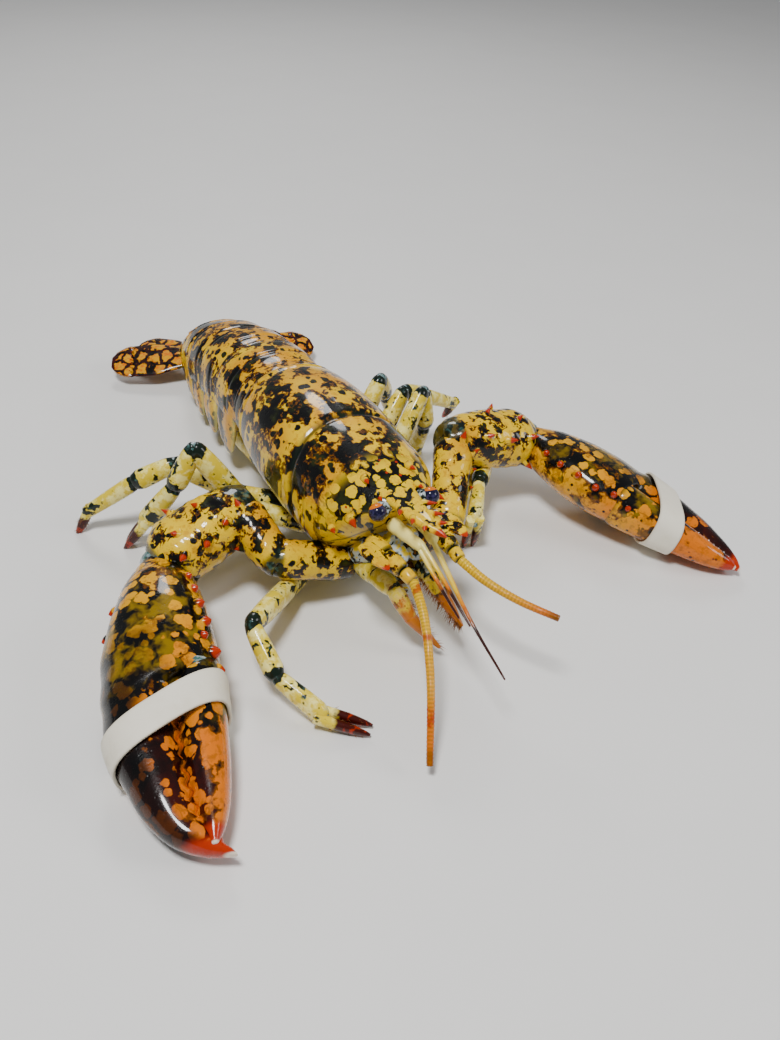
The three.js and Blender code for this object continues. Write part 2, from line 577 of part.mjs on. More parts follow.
for (const { side } of SIDES) {
  const claw = CLAWS[side];
  const { inward } = claw;
  const group = groupOf(`claw_arm_${side}`);
  const [ischiumFrame, merusFrame, carpusFrame, palmFrame] = stride(claw.root, claw.steps);
  const [ischiumLength, merusLength, carpusLength] = claw.steps.map(([length]) => length);

  const ischium = [
    section(-2, 6, 6),
    section(4, 7, 7),
    section(ischiumLength - 4, 7.6, 7.6),
    section(ischiumLength + 1.5, 6, 6),
  ];
  place(group, `claw_ischium_${side}`, "claw", ischiumFrame, (grow) => loftIn(ischiumFrame, ischium, SIDES_OF.arm, grow));

  const merus = [
    section(-4, 5.4, 5.6),
    section(3, 7.4, 7.4),
    section(merusLength * 0.55, 8, 8.4),
    section(merusLength - 6, 8.6, 9),
    section(merusLength - 1, 6.6, 7),
  ];
  const merusSpines = turned(
    [
      [merusLength - 4, 70, 4.6, 2],
      [merusLength - 7, 20, 3.6, 1.7],
      [merusLength * 0.45, -20, 3, 1.6],
      [merusLength * 0.68, -20, 3.4, 1.7],
    ],
    inward,
  );
  place(group, `claw_merus_${side}`, "claw", merusFrame, (grow) => {
    const core = loftIn(merusFrame, merus, SIDES_OF.arm, grow);
    return joined([core, ...spinesOn(merusFrame, merus, merusSpines, grow)]);
  });

  const carpus = [
    section(-7, 6.5, 6.5),
    section(-1, 10.2, 9.6),
    section(carpusLength * 0.4, 13.4, 12),
    section(carpusLength - 8, 13.8, 12),
    section(carpusLength - 1, 9.6, 9.4),
    section(carpusLength + 2, 6, 6),
  ];
  const carpusSpines = turned(
    [
      [carpusLength - 8, 35, 4.6, 2],
      [carpusLength * 0.5, 30, 4.4, 2],
      [carpusLength * 0.22, 40, 4, 1.9],
      [carpusLength * 0.7, 75, 3.6, 1.8],
      [carpusLength * 0.35, 95, 3.4, 1.8],
      [carpusLength * 0.6, 140, 3.8, 1.8],
      [carpusLength - 6, -25, 4.4, 2],
    ],
    inward,
  );
  place(group, `claw_carpus_${side}`, "claw", carpusFrame, (grow) => {
    const core = loftIn(carpusFrame, carpus, SIDES_OF.arm, grow);
    return joined([core, ...spinesOn(carpusFrame, carpus, carpusSpines, grow)]);
  });

  const finger = mirrored(claw.finger, inward);
  const palm = mirrored(claw.palm, inward);
  place(group, `claw_palm_${side}`, "claw", palmFrame, (grow) => {
    const core = loftIn(palmFrame, palm, SIDES_OF.palm, grow);
    const whole = joined([core, ...spinesOn(palmFrame, palm, turned(claw.knobs, inward), grow, 0.35)]);
    return grow > 0 ? whole : whole.subtract(loftIn(palmFrame, finger, SIDES_OF.finger, GAP));
  });
  place(group, `claw_finger_${side}`, "claw", palmFrame, (grow) => {
    const core = loftIn(palmFrame, finger, SIDES_OF.finger, grow);
    return joined([core, ...spinesOn(palmFrame, finger, turned(claw.fingerKnobs, inward), grow, 0.35)]);
  });

  // The rubber band: a sleeve round both fingers, cut to its width between two leaning planes
  const wrap = (y) => {
    const edge = onSkin(claw.palm, y, 180).at;
    const fingerEdge = onSkin(claw.finger, y, 0).at;
    const crown = onSkin(claw.palm, y, 90).at.z;
    const belly = onSkin(claw.palm, y, -90).at.z;
    const x = ((edge.x + fingerEdge.x) / 2) * inward;
    return section(y, (fingerEdge.x - edge.x) / 2 + 0.4, crown * 1.07, { low: -belly * 1.07, x, power: 2.8 });
  };
  const sleeve = (grow) => loftIn(palmFrame, [-17, -6, 6, 17].map((reach) => wrap(claw.bandAt + reach)), SIDES_OF.band, grow);
  const lean = rad(claw.bandLean * inward);
  const across = point(Math.sin(lean), Math.cos(lean), 0).transformDirection(palmFrame);
  const middle = inFrame(palmFrame, 0, claw.bandAt, 0).dot(across);
  place(group, `band_${side}`, "band", palmFrame, (grow) =>
    sleeve(GAP + BAND_THICKNESS + grow)
      .subtract(sleeve(GAP - grow))
      .trimByPlane(across.toArray(), middle - BAND_WIDTH / 2)
      .trimByPlane(across.clone().negate().toArray(), -middle - BAND_WIDTH / 2),
  );
}

// Walking legs. The first two pairs end in small pincers and the last two in a single point.
const LEG_SIZES = {
  2: { ischium: 18, merus: 48.7, carpus: 20.5, palm: 21.3, tip: 17.4, pincer: true },
  3: { ischium: 30, merus: 35, carpus: 19, palm: 24, tip: 17, pincer: true },
  4: { ischium: 26, merus: 30, carpus: 18, palm: 27, tip: 13, pincer: false },
  5: { ischium: 24, merus: 28, carpus: 16, palm: 24, tip: 12, pincer: false },
};
const PINCER_SPREAD = 2.1; // half the distance between a pincer's two fingers
// For each leg, its root and the heading and rise of its five lengths
const LEG_STANCES = {
  right: {
    2: [point(-8, -25.5, 8.5), [-169.4, -1.6], [-138.5, 16.7], [-86, -28.9], [-61.6, -19.7], [-39.8, -11]],
    3: [point(-11, -12, 14), [145, 12], [152, 56], [172, -62], [147, -54], [150, -54]],
    4: [point(-11, 4, 14), [150, 10], [151, 29], [166, -22], [152, -37], [172, -62]],
    5: [point(-9, 23, 13), [97, -5], [92, -2], [90, -6], [88, -8], [86, -16]],
  },
  left: {
    2: [point(11, -27, 9), [-8, 0], [22.8, 9.4], [-134.1, 16.9], [-127.6, -18.1], [75.8, -76.4]],
    3: [point(11, -12, 14), [40, 12], [28, 44], [6, -82], [80, -62], [60, -15]],
    4: [point(11, 4, 14), [36, 14], [25, 42], [19, -30], [17, -31], [104, -60]],
    5: [point(11, 20, 14), [35, 14], [22, 52], [45, -55], [45, -54], [45, -50]],
  },
};

for (const { side, sign } of SIDES) {
  for (const [number, size] of Object.entries(LEG_SIZES)) {
    const [root, ...turns] = LEG_STANCES[side][number];
    const lengths = [size.ischium, size.merus, size.carpus, size.palm, size.tip];
    const frames = stride(root, lengths.map((length, i) => [length, ...turns[i]]));
    const [ischiumFrame, merusFrame, carpusFrame, palmFrame, tipFrame] = frames;
    const group = groupOf(`leg_${side}_${number}`);

    const ischium = [section(-3, 3.6, 4), section(5, 3.8, 4.4), section(size.ischium + 1.5, 3.2, 4)];
    const merus = [
      section(-2, 3, 3.6),
      section(4, 3.6, 4.4),
      section(size.merus * 0.6, 3.8, 4.8),
      section(size.merus - 1, 3.2, 4),
      section(size.merus + 1.5, 2, 2.8),
    ];
    place(group, `leg_${side}_${number}_upper`, "pale_shell", merusFrame, (grow) =>
      joined([loftIn(ischiumFrame, ischium, SIDES_OF.leg, grow), loftIn(merusFrame, merus, SIDES_OF.leg, grow)]),
    );

    const carpus = [
      section(-2, 2, 2.4),
      section(3, 3.2, 3.8),
      section(size.carpus - 3, 3.8, 4.4),
      section(size.carpus + 1, 2.6, 3.2),
    ];
    place(group, `leg_${side}_${number}_wrist`, "pale_shell", carpusFrame, (grow) =>
      loftIn(carpusFrame, carpus, SIDES_OF.leg, grow),
    );

    const palm = [
      section(-2, 1.8, 2.2),
      section(3, 2.8, 3.5),
      section(size.palm - 3, size.pincer ? 3.3 : 2.4, size.pincer ? 4.3 : 2.9),
      section(size.palm + 1, 2.1, 2.7),
    ];
    const tip = [
      section(-3, 1.8, 2.2),
      section(size.tip * 0.4, 1.7, 2.1),
      section(size.tip * 0.8, 1.1, 1.4),
      section(size.tip, 0.5, 0.5),
    ];
    const spread = size.pincer ? PINCER_SPREAD : 0;
    place(group, `leg_${side}_${number}_foot`, "pale_shell", palmFrame, (grow) => {
      const pieces = [loftIn(palmFrame, palm, SIDES_OF.leg, grow)];
      const fingers = size.pincer ? [-1, 1] : [0];
      for (const finger of fingers) {
        const offset = new THREE.Matrix4().makeTranslation(sign * finger * spread, 0, 0);
        pieces.push(loftIn(tipFrame.clone().multiply(offset), tip, SIDES_OF.feeler, grow));
      }
      return joined(pieces);
    });
  }
}

// The origin moves to the middle of the base of the whole animal
const box = new THREE.Box3().setFromObject(lobster, true);
const middle = box.getCenter(point(0, 0, 0));
lobster.position.set(-middle.x, -middle.y, -box.min.z);
lobster.updateMatrixWorld(true);

export default lobster;
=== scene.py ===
"""The dressed model of the american lobster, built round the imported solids."""

import json
import math

import bmesh
import bpy
import numpy as np
from mathutils import Matrix, Vector

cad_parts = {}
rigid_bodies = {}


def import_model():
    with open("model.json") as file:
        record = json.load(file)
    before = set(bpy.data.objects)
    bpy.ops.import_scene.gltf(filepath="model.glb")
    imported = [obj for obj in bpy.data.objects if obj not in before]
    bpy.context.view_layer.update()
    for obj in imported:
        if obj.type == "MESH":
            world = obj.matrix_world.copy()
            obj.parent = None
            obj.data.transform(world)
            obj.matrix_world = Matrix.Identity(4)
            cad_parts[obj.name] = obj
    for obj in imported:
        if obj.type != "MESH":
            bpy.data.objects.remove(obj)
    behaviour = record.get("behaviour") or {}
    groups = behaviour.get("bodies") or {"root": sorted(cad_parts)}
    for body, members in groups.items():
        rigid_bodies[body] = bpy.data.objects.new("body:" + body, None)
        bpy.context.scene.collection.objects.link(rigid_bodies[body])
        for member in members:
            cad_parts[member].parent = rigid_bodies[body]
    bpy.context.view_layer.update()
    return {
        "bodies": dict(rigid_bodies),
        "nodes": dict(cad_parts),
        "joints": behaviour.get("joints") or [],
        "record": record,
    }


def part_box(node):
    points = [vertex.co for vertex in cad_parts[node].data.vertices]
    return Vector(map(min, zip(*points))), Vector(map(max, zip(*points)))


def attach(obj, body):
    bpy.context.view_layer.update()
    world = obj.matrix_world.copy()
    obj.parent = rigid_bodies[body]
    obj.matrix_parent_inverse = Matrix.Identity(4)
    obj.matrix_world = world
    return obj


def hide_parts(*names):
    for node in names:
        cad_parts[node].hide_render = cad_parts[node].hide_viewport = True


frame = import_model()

bl_info = {
    "name": "American lobster",
    "version": (1, 0, 0),
    "blender": (4, 5, 0),
    "location": "View3D > Sidebar > Lobster",
    "description": "Builds a life-size calico lobster with banded claws round its packed solids",
    "category": "Add Mesh",
}

SIDES = (("right", -1), ("left", 1))
UP = Vector((0, 0, 1))
BACK = Vector((0, 1, 0))
TAU = 2 * math.pi
# On the carapace, rim and joint also carry painted shade.
MARKS = ("along", "top", "side", "tip", "joint", "rim")

# Lengths are in millimetres, in the animal's own frame: head to -Y, its left side to +X
PER_METRE = 1000
SOCKET_Y = -60
SHELL_REAR_Y = 40
SHELL_HALF_WIDTH = 28
TAIL_HALF_WIDTH = 24
SHELL_MIDDLE_Z = 37
ROSTRUM_LENGTH = 27
BODY_POWER = 2.3


def animal_frame():
    """Where the animal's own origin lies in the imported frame, from the carapace, in millimetres."""
    low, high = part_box("carapace")
    middle = (low.x + high.x) / 2
    tip = low.y
    return Matrix.Translation((middle * PER_METRE, tip * PER_METRE - (SOCKET_Y - ROSTRUM_LENGTH), 0))


HOME = animal_frame()


# Lines, frames and cross-sections

def bridge(t, span, a, b, leave, arrive):
    """A smooth line from a to b, at shares t of the span, with its slopes at both ends."""
    return (
        (2 * t**3 - 3 * t**2 + 1) * a
        + (t**3 - 2 * t**2 + t) * span * leave
        + (3 * t**2 - 2 * t**3) * b
        + (t**3 - t**2) * span * arrive
    )


def smooth_through(spots, values, at):
    """A smooth line through the values that never overshoots them."""
    spots = np.asarray(spots, float)
    values = np.asarray(values, float)
    gaps = np.diff(spots)
    slopes = np.diff(values, axis=0) / gaps[:, None]
    tangents = np.empty_like(values)
    tangents[0], tangents[-1] = slopes[0], slopes[-1]
    product = slopes[:-1] * slopes[1:]
    total = slopes[:-1] + slopes[1:]
    total[total == 0] = 1
    tangents[1:-1] = np.where(product > 0, 2 * product / total, 0)
    i = np.clip(np.searchsorted(spots, at) - 1, 0, len(gaps) - 1)
    t = ((at - spots[i]) / gaps[i])[:, None]
    return bridge(t, gaps[i][:, None], values[i], values[i + 1], tangents[i], tangents[i + 1])


def through(points, t):
    """A smooth path through a few points, at shares t of its length."""
    points = np.array(points, float)
    runs = np.concatenate([[0], np.cumsum(np.linalg.norm(np.diff(points, axis=0), axis=1))])
    spots = runs / runs[-1]
    tangents = np.gradient(points, spots, axis=0)
    i = np.clip(np.searchsorted(spots, t) - 1, 0, len(spots) - 2)
    span = (spots[i + 1] - spots[i])[:, None]
    share = ((t - spots[i])[:, None]) / span
    return bridge(share, span, points[i], points[i + 1], tangents[i], tangents[i + 1])


def ease(low, high, value):
    """0 below low, 1 above high, and smooth between."""
    t = np.clip((value - low) / (high - low), 0, 1)
    return t * t * (3 - 2 * t)


def hump(value, width):
    """1 at zero, falling away on both sides."""
    return np.exp(-((value / width) ** 2))


def squared(value, power):
    """A sine or cosine pushed out towards a square. A power of 2 leaves it round."""
    return np.sign(value) * np.abs(value) ** (2 / power)


def outward(spots, middle_z=0):
    """The way out of a piece's middle line at each point, straight across the piece."""
    out = (spots - np.array([0, 0, middle_z])) * np.array([1, 0, 1])
    return out / np.maximum(np.linalg.norm(out, axis=1), 1e-6)[:, None]


def frame_of(origin, along, face=UP):
    """A place and direction: local Y runs along a piece and local Z is its upper face."""
    forward = Vector(along).normalized()
    parallel = abs(forward.dot(face)) > 0.999
    level = BACK if parallel else face
    up = (level - forward * level.dot(forward)).normalized()
    turned = Matrix((forward.cross(up), forward, up)).transposed().to_4x4()
    turned.translation = Vector(origin)
    return turned


def aimed(origin, heading, rise=0, roll=0):
    """The same from a heading round the floor from +X, a rise above it and a roll, in degrees."""
    heading, rise, roll = (math.radians(angle) for angle in (heading, rise, roll))
    level = math.cos(rise)
    along = Vector((level * math.cos(heading), level * math.sin(heading), math.sin(rise)))
    return frame_of(origin, along) @ Matrix.Rotation(-roll, 4, "Y")


def stride(start, steps):
    """The frames of a limb's lengths, each step a length with its heading, rise and roll."""
    frames, spot = [], Vector(start)
    for length, *turns in steps:
        frames.append(aimed(spot, *turns))
        spot = frames[-1] @ Vector((0, length, 0))
    return frames


def moved(frame, points):
    """Points carried from a piece's own frame to the animal's."""
    turn = np.array(frame.to_3x3())
    return points @ turn.T + np.array(frame.translation)


def cut(y, wide, tall, low=None, x=0, z=0, power=2.2, lean=0):
    """One cross-section: half width, height above and depth below its centre, at y along the piece."""
    return (y, wide, tall, tall if low is None else low, x, z, power, lean)


class Form:
    """A smooth closed form through cross-sections along its own Y."""

    def __init__(self, cuts, side=1):
        self.table = np.array(sorted(cuts), float)
        self.table[:, 4] *= side
        self.start, self.end = self.table[0, 0], self.table[-1, 0]

    def point(self, y, turn, out=0.0, size=1.0):
        """Points of the skin at y, turned from +X towards +Z. out moves them off it, size scales them."""
        y = np.atleast_1d(np.asarray(y, float))
        turn = np.atleast_1d(np.asarray(turn, float))
        wide, tall, low, x, z, power, lean = smooth_through(self.table[:, 0], self.table[:, 1:], y).T
        across, above = squared(np.cos(turn), power), squared(np.sin(turn), power)
        height = np.where(above > 0, tall, low)
        return np.stack([
            x + across * np.maximum(wide + out, 0) * size,
            y + lean * (1 - above * size) / 2,
            z + above * np.maximum(height + out, 0) * size,
        ], axis=1)

    def skin(self, y, turn_degrees):
        """A point on the skin, and the way out of it there."""
        turn, step = math.radians(turn_degrees), 0.02
        near = self.point([y, y, y], [turn, turn + step, turn - step])
        run = near[1] - near[2]
        out = np.array([run[2], 0, -run[0]])
        middle = self.point(y, 0, size=0.0)[0]
        if np.dot(out, near[0] - middle) < 0:
            out = -out
        return Vector(near[0]), Vector(out / np.linalg.norm(out))


# Meshes

TUBES = {}


def tube(sides, rings, closed=True):
    """A unit tube, spun from a straight profile, with ring i at y = i and a pole at a closed end.

    Gives its mesh and, for each point, the ring, the turn and whether it is a pole.
    """
    key = (sides, rings, closed)
    if key not in TUBES:
        bm = bmesh.new()
        profile = [bm.verts.new((1, i, 0)) for i in range(rings)]
        if closed:
            profile = [bm.verts.new((0, 0, 0)), *profile, bm.verts.new((0, rings - 1, 0))]
        for a, b in zip(profile, profile[1:]):
            bm.edges.new((a, b))
        bmesh.ops.spin(
            bm, geom=bm.verts[:] + bm.edges[:], cent=(0, 0, 0), axis=(0, 1, 0),
            angle=TAU, steps=sides, use_merge=True,
        )
        bmesh.ops.remove_doubles(bm, verts=bm.verts, dist=1e-4)
        bmesh.ops.recalc_face_normals(bm, faces=bm.faces)
        mesh = bpy.data.meshes.new("tube")
        bm.to_mesh(mesh)
        bm.free()
        co = np.empty(len(mesh.vertices) * 3)
        mesh.vertices.foreach_get("co", co)
        x, y, z = co.reshape(-1, 3).T
        ring, turn, pole = np.round(y).astype(int), np.arctan2(z, x), np.hypot(x, z) < 0.5
        TUBES[key] = (mesh, ring, turn, pole)
    return TUBES[key]


class Part:
    """One skin of a piece: its mesh, its points and the marks that the finish reads from them."""

    def __init__(self, mesh, spots, **marks):
        self.mesh, self.spots = mesh, spots
        self.marks = {name: np.zeros(len(spots)) for name in MARKS}
        for name, value in marks.items():
            self.marks[name] = np.broadcast_to(value, len(spots)).astype(float)


def lofted(form, where, sides, rings, sculpt=None, round_off=0.8, **marks):
    """A form's skin as a part. sculpt(points, y, turn) may move its points or add marks."""
    start, end = form.start, form.end
    arc = np.radians([0, 30, 60])
    ease_y = round_off * (1 - np.cos(arc))
    ease_out = -round_off * (1 - np.sin(arc))
    middle = np.linspace(start + round_off, end - round_off, rings)
    ys = np.concatenate([start + ease_y, middle, (end - ease_y)[::-1]])
    outs = np.concatenate([ease_out, np.zeros(rings), ease_out[::-1]])
    mesh, ring, turn, pole = tube(sides, len(ys))
    y, out = ys[ring], outs[ring]
    spots = form.point(y, turn, out, np.where(pole, 0.0, 1.0))
    given = {"along": (y - start) / (end - start), "top": np.sin(turn), "side": np.cos(turn), **marks}
    if sculpt:
        given.update(sculpt(spots, y, turn) or {})
    return Part(mesh, moved(where, spots), **given)


def spike(at, way, length, radius, sink=1.5, sides=10, fullness=1.15, **marks):
    """A spine or knob, its base sunk in the shell: a cone at a fullness of 1, a dome at 3."""
    share = np.array([0, 0.2, 0.4, 0.6, 0.78, 0.9, 0.97, 1.0])
    flare, blunt, redness = 1.15, 0.04, 0.88
    wide = radius * (flare * (1 - share**fullness) + blunt)
    mesh, ring, turn, pole = tube(sides, len(share))
    y = share[ring] * (length + sink) - sink
    r = np.where(pole, 0, wide[ring])
    spots = np.stack([np.cos(turn) * r, y, np.sin(turn) * r], axis=1)
    marks.setdefault("tip", ease(-0.1, 0.75, y / length) * redness)
    return Part(mesh, moved(frame_of(at, way), spots), **marks)


def spikes_on(form, where, rows, forward=0.6, **marks):
    """Spines set on a form's skin, each [y, turn, length, radius], leaning forward along the piece."""
    turned = where.to_3x3()
    found = []
    for y, turn, length, radius in rows:
        at, out = form.skin(y, turn)
        along = turned @ (out + BACK * forward)
        found.append(spike(where @ at, along, length, radius, **marks))
    return found


def feeler(points, root, tip, rings, sides, profile=None, **marks):
    """A limb along a smooth path, tapering from root to tip. profile(t) scales its thickness."""
    t = np.linspace(0, 1, rings)
    line = through(points, t)
    along = np.gradient(line, axis=0)
    along /= np.linalg.norm(along, axis=1)[:, None]
    side = np.cross(along, [0, 0, 1.0])
    side /= np.linalg.norm(side, axis=1)[:, None]
    up = np.cross(side, along)
    radius = root + (tip - root) * t
    if profile is not None:
        radius = radius * profile(t)
    ends = np.minimum(t, 1 - t) * rings
    radius = radius * np.where(ends < 0.5, 0.7, 1)
    mesh, ring, turn, pole = tube(sides, rings)
    r = np.where(pole, 0, radius[ring])[:, None]
    out = side[ring] * np.cos(turn)[:, None] + up[ring] * np.sin(turn)[:, None]
    spots = line[ring] + out * r
    given = {"along": t[ring], "top": np.sin(turn), "side": np.cos(turn), **marks}
    return Part(mesh, spots, **given)


def ball(at, radius, squash=(1, 1, 1), sides=32, rings=20, **marks):
    """A rounded pad or eyeball, at a place or in a frame."""
    mesh, ring, turn, pole = tube(sides, rings)
    angle = np.linspace(0, math.pi, rings)[ring]
    r = np.where(pole, 0, np.sin(angle))
    across, forward, above = np.cos(turn) * r, -np.cos(angle), np.sin(turn) * r
    spots = np.stack([across, forward, above], axis=1) * radius * np.array(squash)
    where = at if isinstance(at, Matrix) else Matrix.Translation(at)
    given = {"along": (1 + forward) / 2, "top": above, "side": across, **marks}
    return Part(mesh, moved(where, spots), **given)


def stand(bm):
    """Cuts off what would reach under the floor, and closes the flat that the piece rests on."""
    cut_edges = bmesh.ops.bisect_plane(
        bm, geom=bm.verts[:] + bm.edges[:] + bm.faces[:], plane_co=(0, 0, 0), plane_no=(0, 0, 1),
        dist=1e-6, clear_inner=True,
    )["geom_cut"]
    rims = [item for item in cut_edges if isinstance(item, bmesh.types.BMEdge) and item.is_boundary]
    bmesh.ops.edgeloop_fill(bm, edges=rims)


def build(name, parts, material, nodes=()):
    bm = bmesh.new()
    for part in parts:
        mesh = part.mesh.copy()
        points = moved(HOME, part.spots) / PER_METRE
        mesh.vertices.foreach_set("co", points.astype(np.float32).ravel())
        for mark, values in part.marks.items():
            mesh.attributes.new(mark, "FLOAT", "POINT").data.foreach_set("value", values.astype(np.float32))
        bm.from_mesh(mesh)
        bpy.data.meshes.remove(mesh)
    if min(vert.co.z for vert in bm.verts) < 0:
        stand(bm)
    whole = bpy.data.meshes.new(name)
    bm.to_mesh(whole)
    bm.free()
    whole.shade_smooth()
    piece = bpy.data.objects.new(name, whole)
    bpy.context.scene.collection.objects.link(piece)
    whole.materials.append(material)
    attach(piece, "root")
    if nodes:
        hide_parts(*nodes)
    return piece


# Materials

class Value:
    """A socket in a material, so that maths on it reads as Python."""

    def __init__(self, finish, socket):
        self.finish, self.socket = finish, socket

    def maths(self, operation, a, b):
        return self.finish.node("ShaderNodeMath", {"operation": operation}, {0: a, 1: b})

    def __add__(self, other):
        return self.maths("ADD", self, other)

    def __radd__(self, other):
        return self.maths("ADD", other, self)

    def __sub__(self, other):
        return self.maths("SUBTRACT", self, other)

    def __rsub__(self, other):
        return self.maths("SUBTRACT", other, self)

    def __mul__(self, other):
        return self.maths("MULTIPLY", self, other)

    def __rmul__(self, other):
        return self.maths("MULTIPLY", other, self)

    def between(self, low, high):
        """0 at low and 1 at high, smooth between. low may be the larger."""
        settings = {"interpolation_type": "SMOOTHSTEP"}
        sockets = {0: self, 1: low, 2: high, 3: 0.0, 4: 1.0}
        return self.finish.node("ShaderNodeMapRange", settings, sockets)

    def most(self, other):
        """The larger of two."""
        return self.maths("MAXIMUM", self, other)


class Finish:
    """One material and the nodes in it."""

    def __init__(self, name):
        self.material = bpy.data.materials.new(name)
        self.material.use_nodes = True
        self.tree = self.material.node_tree
        self.tree.nodes.clear()

    def node(self, kind, settings=None, sockets=None, output=0):
        """A node with its settings, then the values or links of its sockets. Gives one output."""
        made = self.tree.nodes.new(kind)
        for key, value in (settings or {}).items():
            if key == "stops":
                ramp = made.color_ramp
                while len(ramp.elements) < len(value):
                    ramp.elements.new(0.5)
                for element, (position, colour) in zip(ramp.elements, value):
                    element.position = position
                    element.color = (*colour, 1)
            else:
                setattr(made, key, value)
        for key, value in (sockets or {}).items():
            socket = made.inputs[key]
            if isinstance(value, Value):
                self.tree.links.new(value.socket, socket)
            elif socket.type == "RGBA" and len(value) == 3:
                socket.default_value = (*value, 1)
            else:
                socket.default_value = value
        return Value(self, made.outputs[output]) if made.outputs else None

    def mark(self, name):
        """A number that the mesh carries."""
        return self.node("ShaderNodeAttribute", {"attribute_name": name}, output=2)

    def place(self, stretch=(1, 1, 1)):
        """Object coordinates in millimetres, stretched."""
        spot = self.node("ShaderNodeTexCoord", output=3)
        size = tuple(PER_METRE * share for share in stretch)
        return self.node("ShaderNodeVectorMath", {"operation": "MULTIPLY"}, {0: spot, 1: size})

    def warped(self, spot, size, amount):
        """Coordinates pushed about by noise, so that edges wander."""
        sockets = {"Vector": spot, "Scale": 1 / size, "Detail": 2.0}
        push = self.node("ShaderNodeTexNoise", None, sockets, output=1)
        half = (0.5, 0.5, 0.5)
        middle = self.node("ShaderNodeVectorMath", {"operation": "SUBTRACT"}, {0: push, 1: half})
        scaled = self.node("ShaderNodeVectorMath", {"operation": "SCALE"}, {0: middle, "Scale": amount})
        return self.node("ShaderNodeVectorMath", {"operation": "ADD"}, {0: spot, 1: scaled})

    def noise(self, spot, size, detail=2.0, rough=0.5):
        """Clouds of about this size, in millimetres."""
        sockets = {"Vector": spot, "Scale": 1 / size, "Detail": detail, "Roughness": rough}
        return self.node("ShaderNodeTexNoise", None, sockets)

    def cells(self, spot, size, feature="F1"):
        """The distance from the middle of the nearest cell, or from its edge."""
        sockets = {"Vector": spot, "Scale": 1 / size, "Randomness": 1.0}
        return self.node("ShaderNodeTexVoronoi", {"feature": feature}, sockets)

    def mixed(self, share, a, b):
        """Colour a at a share of 0, and b at 1."""
        return self.node("ShaderNodeMix", {"data_type": "RGBA"}, {0: share, 6: a, 7: b}, output=2)

    def close(self, colour, roughness, height=None, depth=0.15, sockets=None):
        """The shader at the end. depth is the height of the bumps, in millimetres."""
        values = {"Base Color": colour, "Roughness": roughness, **(sockets or {})}
        if height is not None:
            bumps = {"Strength": 1.0, "Distance": depth / PER_METRE, "Height": height}
            values["Normal"] = self.node("ShaderNodeBump", None, bumps)
        shader = self.node("ShaderNodeBsdfPrincipled", None, values)
        self.node("ShaderNodeOutputMaterial", None, {"Surface": shader})
        return self.material


WET = {
    "Coat Weight": 0.8, "Coat Roughness": 0.08, "Coat IOR": 1.4, "IOR": 1.4, "Specular IOR Level": 0.1,
}


def colours():
    return bpy.context.scene.lobster_colours


def shared(name, make, **settings):
    """A finish that several pieces wear, made once."""
    return bpy.data.materials.get(name) or make(name, **settings)


